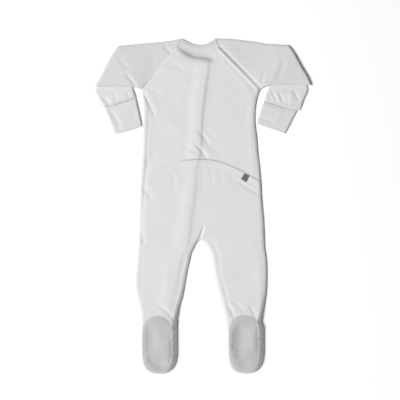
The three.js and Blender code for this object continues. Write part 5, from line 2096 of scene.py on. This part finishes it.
@dataclass
class Tag:
    """Small folded tape in the waist seam, bare.

    Args:
        corners: Its corners, from the seam's left round to the free end's left.
        thick: Thickness of the two layers.
        lift: Gap over the casing.
        curl: How far its free end stands up.
        rise: Height of the casing over the panels beside it.
        bow: How far the middle of its free end stands over the corners.
        roll: Width of its rounded edge.
    """

    corners: tuple = ((75.2, 59.6), (84.4, 55), (77.6, 43.9), (68.9, 49.5))
    thick: float = 1
    lift: float = 0.35
    curl: float = 1.4
    rise: float = 0.8
    bow: float = 0.35
    roll: float = 0.5

    def build(self) -> list[bpy.types.Object]:
        """Make the tape.

        Returns:
            The one piece.
        """
        a, b, c, d = (np.array(corner, float) for corner in self.corners)
        spot = patch(across(a, d), across(b, c), across(a, b), across(d, c))

        def floor(at: Array, s: Array, v: Array) -> Array:
            """Underside of the tape over the casing."""
            bow = self.bow * np.sin(math.pi * s) * v
            return back_top(at) + self.rise + self.lift + self.curl * v**2 + bow

        loop = np.concatenate([sample(across(a, d), 20), sample(across(d, c), 12), sample(across(c, b), 20)])
        bm = bmesh.new()
        grid = Grid(18, 24, self.roll, (True, True, False, True), 13)
        closed_tube(bm, grid, spot, [loop], self.roll, floor, lambda *at: floor(*at) + self.thick,
                    (True, True))
        obj = make_piece("label_tape", bm, TAPE, ["label"])
        declare(obj, 10.5, 15, 2)
        return [obj]


@dataclass
class Stitching:
    """Rows of machine stitches on the casing, bands, cuffs and soles.

    Args:
        pitch: Distance between stitches.
        length: Length of one stitch.
        thread: Radius of the thread.
        clear: Height of a stitch's middle over the surface.
        sole_insets: How far the rows of a sole lie inside its edge.
        tack_x: Where the bar tacks stand.
        tack_rows: Number of stitches of a tack.
        tack_start: Share of the casing's depth at which a tack starts.
        tack_step: Share of the depth between its stitches.
        tack_half: Half the length of its stitches.
        tack_slant: How far a stitch slants up, and how far it stands off the casing.
        hem_share: Share of the cuff's length at which its row lies.
    """

    pitch: float = 2.8
    length: float = 2.1
    thread: float = 0.22
    clear: float = 0.12
    sole_insets: tuple[float, float] = (1.6, 3.6)
    tack_x: tuple[float, float] = (-51.3, 12.6)
    tack_rows: int = 7
    tack_start: float = 0.18
    tack_step: float = 0.06
    tack_half: float = 0.9
    tack_slant: float = 0.3
    hem_share: float = 0.91

    def build(self) -> list[bpy.types.Object]:
        """Make each piece's rows.

        Returns:
            The pieces.
        """
        casing = [(waist_line(share), self._on_casing(share)) for share in BackPanels.stitch_rows]
        neck = [(run, self._on_neck) for run in NeckBands().stitch_rows()]
        soles = [(foot.sole_rim(inset), self._on_sole(foot)) for foot in FEET for inset in self.sole_insets]
        cuffs = [(self._hem(sleeve), lambda at, item=sleeve: item.cuff_top(at, 0, 0)) for sleeve in SLEEVES]
        return [self._rows("stitches_waist", casing), self._rows("stitches_neck", neck),
                self._rows("stitches_soles", soles), self._rows("stitches_cuffs", cuffs), self._tacks()]

    @staticmethod
    def _on_casing(share: float) -> Callable[[Array], Array]:
        """Height of the casing under a row of stitches."""
        return lambda at: BackPanels.casing_top(at, np.full(len(at), share)) - 0.25

    @staticmethod
    def _on_neck(at: Array) -> Array:
        """Height of the neck band under its stitches."""
        return NeckBands().top(at, 0, 0)

    @staticmethod
    def _on_sole(foot: Foot) -> Callable[[Array], Array]:
        """Height of a sole under its stitches."""
        return lambda at: foot.sole_top(at) - 0.2

    def _hem(self, sleeve: Sleeve) -> Array:
        """Row of stitches above the open end of a cuff."""
        s = np.linspace(0.04, 0.96, 40)
        return sleeve.cuff_spot()(s, np.full(len(s), self.hem_share))

    def _rows(self, name: str, rows: Sequence[tuple[Array, Callable[[Array], Array]]]) -> bpy.types.Object:
        """Stitches along some runs, each lying on a surface.

        Args:
            name: Name of the piece.
            rows: Runs and the height of the surface under each.

        Returns:
            The stitches as one piece.
        """
        bm = bmesh.new()
        for run, surface in rows:
            curve = even_run(run)
            total = np.linalg.norm(np.diff(run, axis=0), axis=1).sum()
            shares = (np.arange(int(total / self.pitch)) + 0.5) * self.pitch / total
            half = self.length / 2 / total
            tips = (curve(shares - half), curve(shares + half))
            ends = [np.column_stack([at, surface(at) + self.clear]) for at in tips]
            for start, end in zip(*ends):
                self._stitch(bm, start, end)
        return make_piece(name, bm, THREAD, [])

    def _stitch(self, bm: bmesh.types.BMesh, start: Array, end: Array) -> None:
        """One stitch between two points.

        Args:
            bm: Mesh to add to.
            start: Start of the stitch.
            end: Its end.
        """
        shift = np.array([*SHIFT, 0])
        a, b = (Vector((point + shift) * MM) for point in (start, end))
        turn = (b - a).to_track_quat("X", "Z").to_matrix().to_4x4()
        size = Matrix.Diagonal(((b - a).length / 2, self.thread * MM, self.thread * MM, 1))
        place = Matrix.Translation((a + b) / 2) @ turn @ size
        bmesh.ops.create_icosphere(bm, subdivisions=1, radius=1, matrix=place)

    def _tacks(self) -> bpy.types.Object:
        """Two bar tacks that hold the elastic in the casing.

        Returns:
            The piece.
        """
        bm = bmesh.new()
        for x in self.tack_x:
            top, low = float(waist_y(x)), float(waist_low(x))
            for k in range(self.tack_rows):
                share = self.tack_start + self.tack_step * k
                y = mix(top, low, share)
                ends = np.array([[x - self.tack_half, y], [x + self.tack_half, y + self.tack_slant]])
                z = self._on_casing(share)(ends) + self.tack_slant
                self._stitch(bm, *np.column_stack([ends, z]))
        return make_piece("tacks_waist", bm, THREAD, [])


@dataclass
class Studio:
    """Floor, soft light from the left and a long lens straight above.

    Args:
        middle: Point under the camera, in metres.
        span: Width of the view, in metres.
        level: Height over the ground at which that width is seen.
        lens: Focal length in millimetres.
        sensor: Width of the sensor in millimetres.
        floor_z: Height of the paper.
        paper: Brightness of the paper.
        room: Strength of the light from all round.
        key_place: Where the lamp stands.
        key_size: Length of the lamp's side.
        key_power: Power of the lamp in watts.
    """

    middle: tuple[float, float] = (-0.00524, 0.01119)
    span: float = 0.72
    level: float = 0.005
    lens: float = 100
    sensor: float = 36
    floor_z: float = -0.0004
    paper: float = 0.97
    room: float = 0.13
    key_place: tuple[float, float, float] = (-2.75, -0.5, 4.35)
    key_size: float = 2.2
    key_power: float = 325

    def build(self) -> None:
        """Make the floor, the lights and the camera."""
        bm = bmesh.new()
        bmesh.ops.create_grid(bm, x_segments=1, y_segments=1, size=4)
        mesh = bpy.data.meshes.new("floor")
        bm.to_mesh(mesh)
        bm.free()
        floor = bpy.data.objects.new("floor", mesh)
        floor.location.z = self.floor_z
        bpy.context.scene.collection.objects.link(floor)
        mesh.materials.append(Finish("floor_paper", "", (self.paper,) * 3).material())
        world = bpy.data.worlds.new("room")
        world.use_nodes = True
        sky = world.node_tree.nodes["Background"]
        sky.inputs["Color"].default_value = (1, 1, 1, 1)
        sky.inputs["Strength"].default_value = self.room
        bpy.context.scene.world = world
        self._lamp("key", self.key_place, self.key_size, self.key_power)
        self._camera()
        bpy.context.scene.view_settings.view_transform = "Standard"

    @staticmethod
    def _lamp(name: str, place: tuple[float, float, float], size: float, power: float) -> None:
        """Square lamp that looks at the garment.

        Args:
            name: Name of the lamp.
            place: Where it stands, in metres.
            size: Length of its side, in metres.
            power: Its power in watts.
        """
        light = bpy.data.lights.new(name, "AREA")
        light.size = size
        light.energy = power
        lamp = bpy.data.objects.new(name, light)
        lamp.location = place
        lamp.rotation_euler = (-Vector(place)).to_track_quat("-Z", "Y").to_euler()
        bpy.context.scene.collection.objects.link(lamp)

    def _camera(self) -> None:
        """Camera straight above the garment."""
        data = bpy.data.cameras.new("camera")
        data.lens = self.lens
        data.sensor_width = self.sensor
        data.sensor_fit = "HORIZONTAL"
        camera = bpy.data.objects.new("camera", data)
        camera.location = (*self.middle, self.level + self.span * self.lens / self.sensor)
        bpy.context.scene.collection.objects.link(camera)
        bpy.context.scene.camera = camera


def main() -> None:
    """Build and dress the garment, then light it."""
    Studio().build()
    assemblies = (BackPanels(), FrontPanels(), NeckBands(), *SLEEVES, *FEET, Tag(), Stitching())
    for assembly in assemblies:
        made = assembly.build()
        LOG.info("%s: %s", type(assembly).__name__, ", ".join(obj.name for obj in made))


if __name__ == "__main__":
    main()
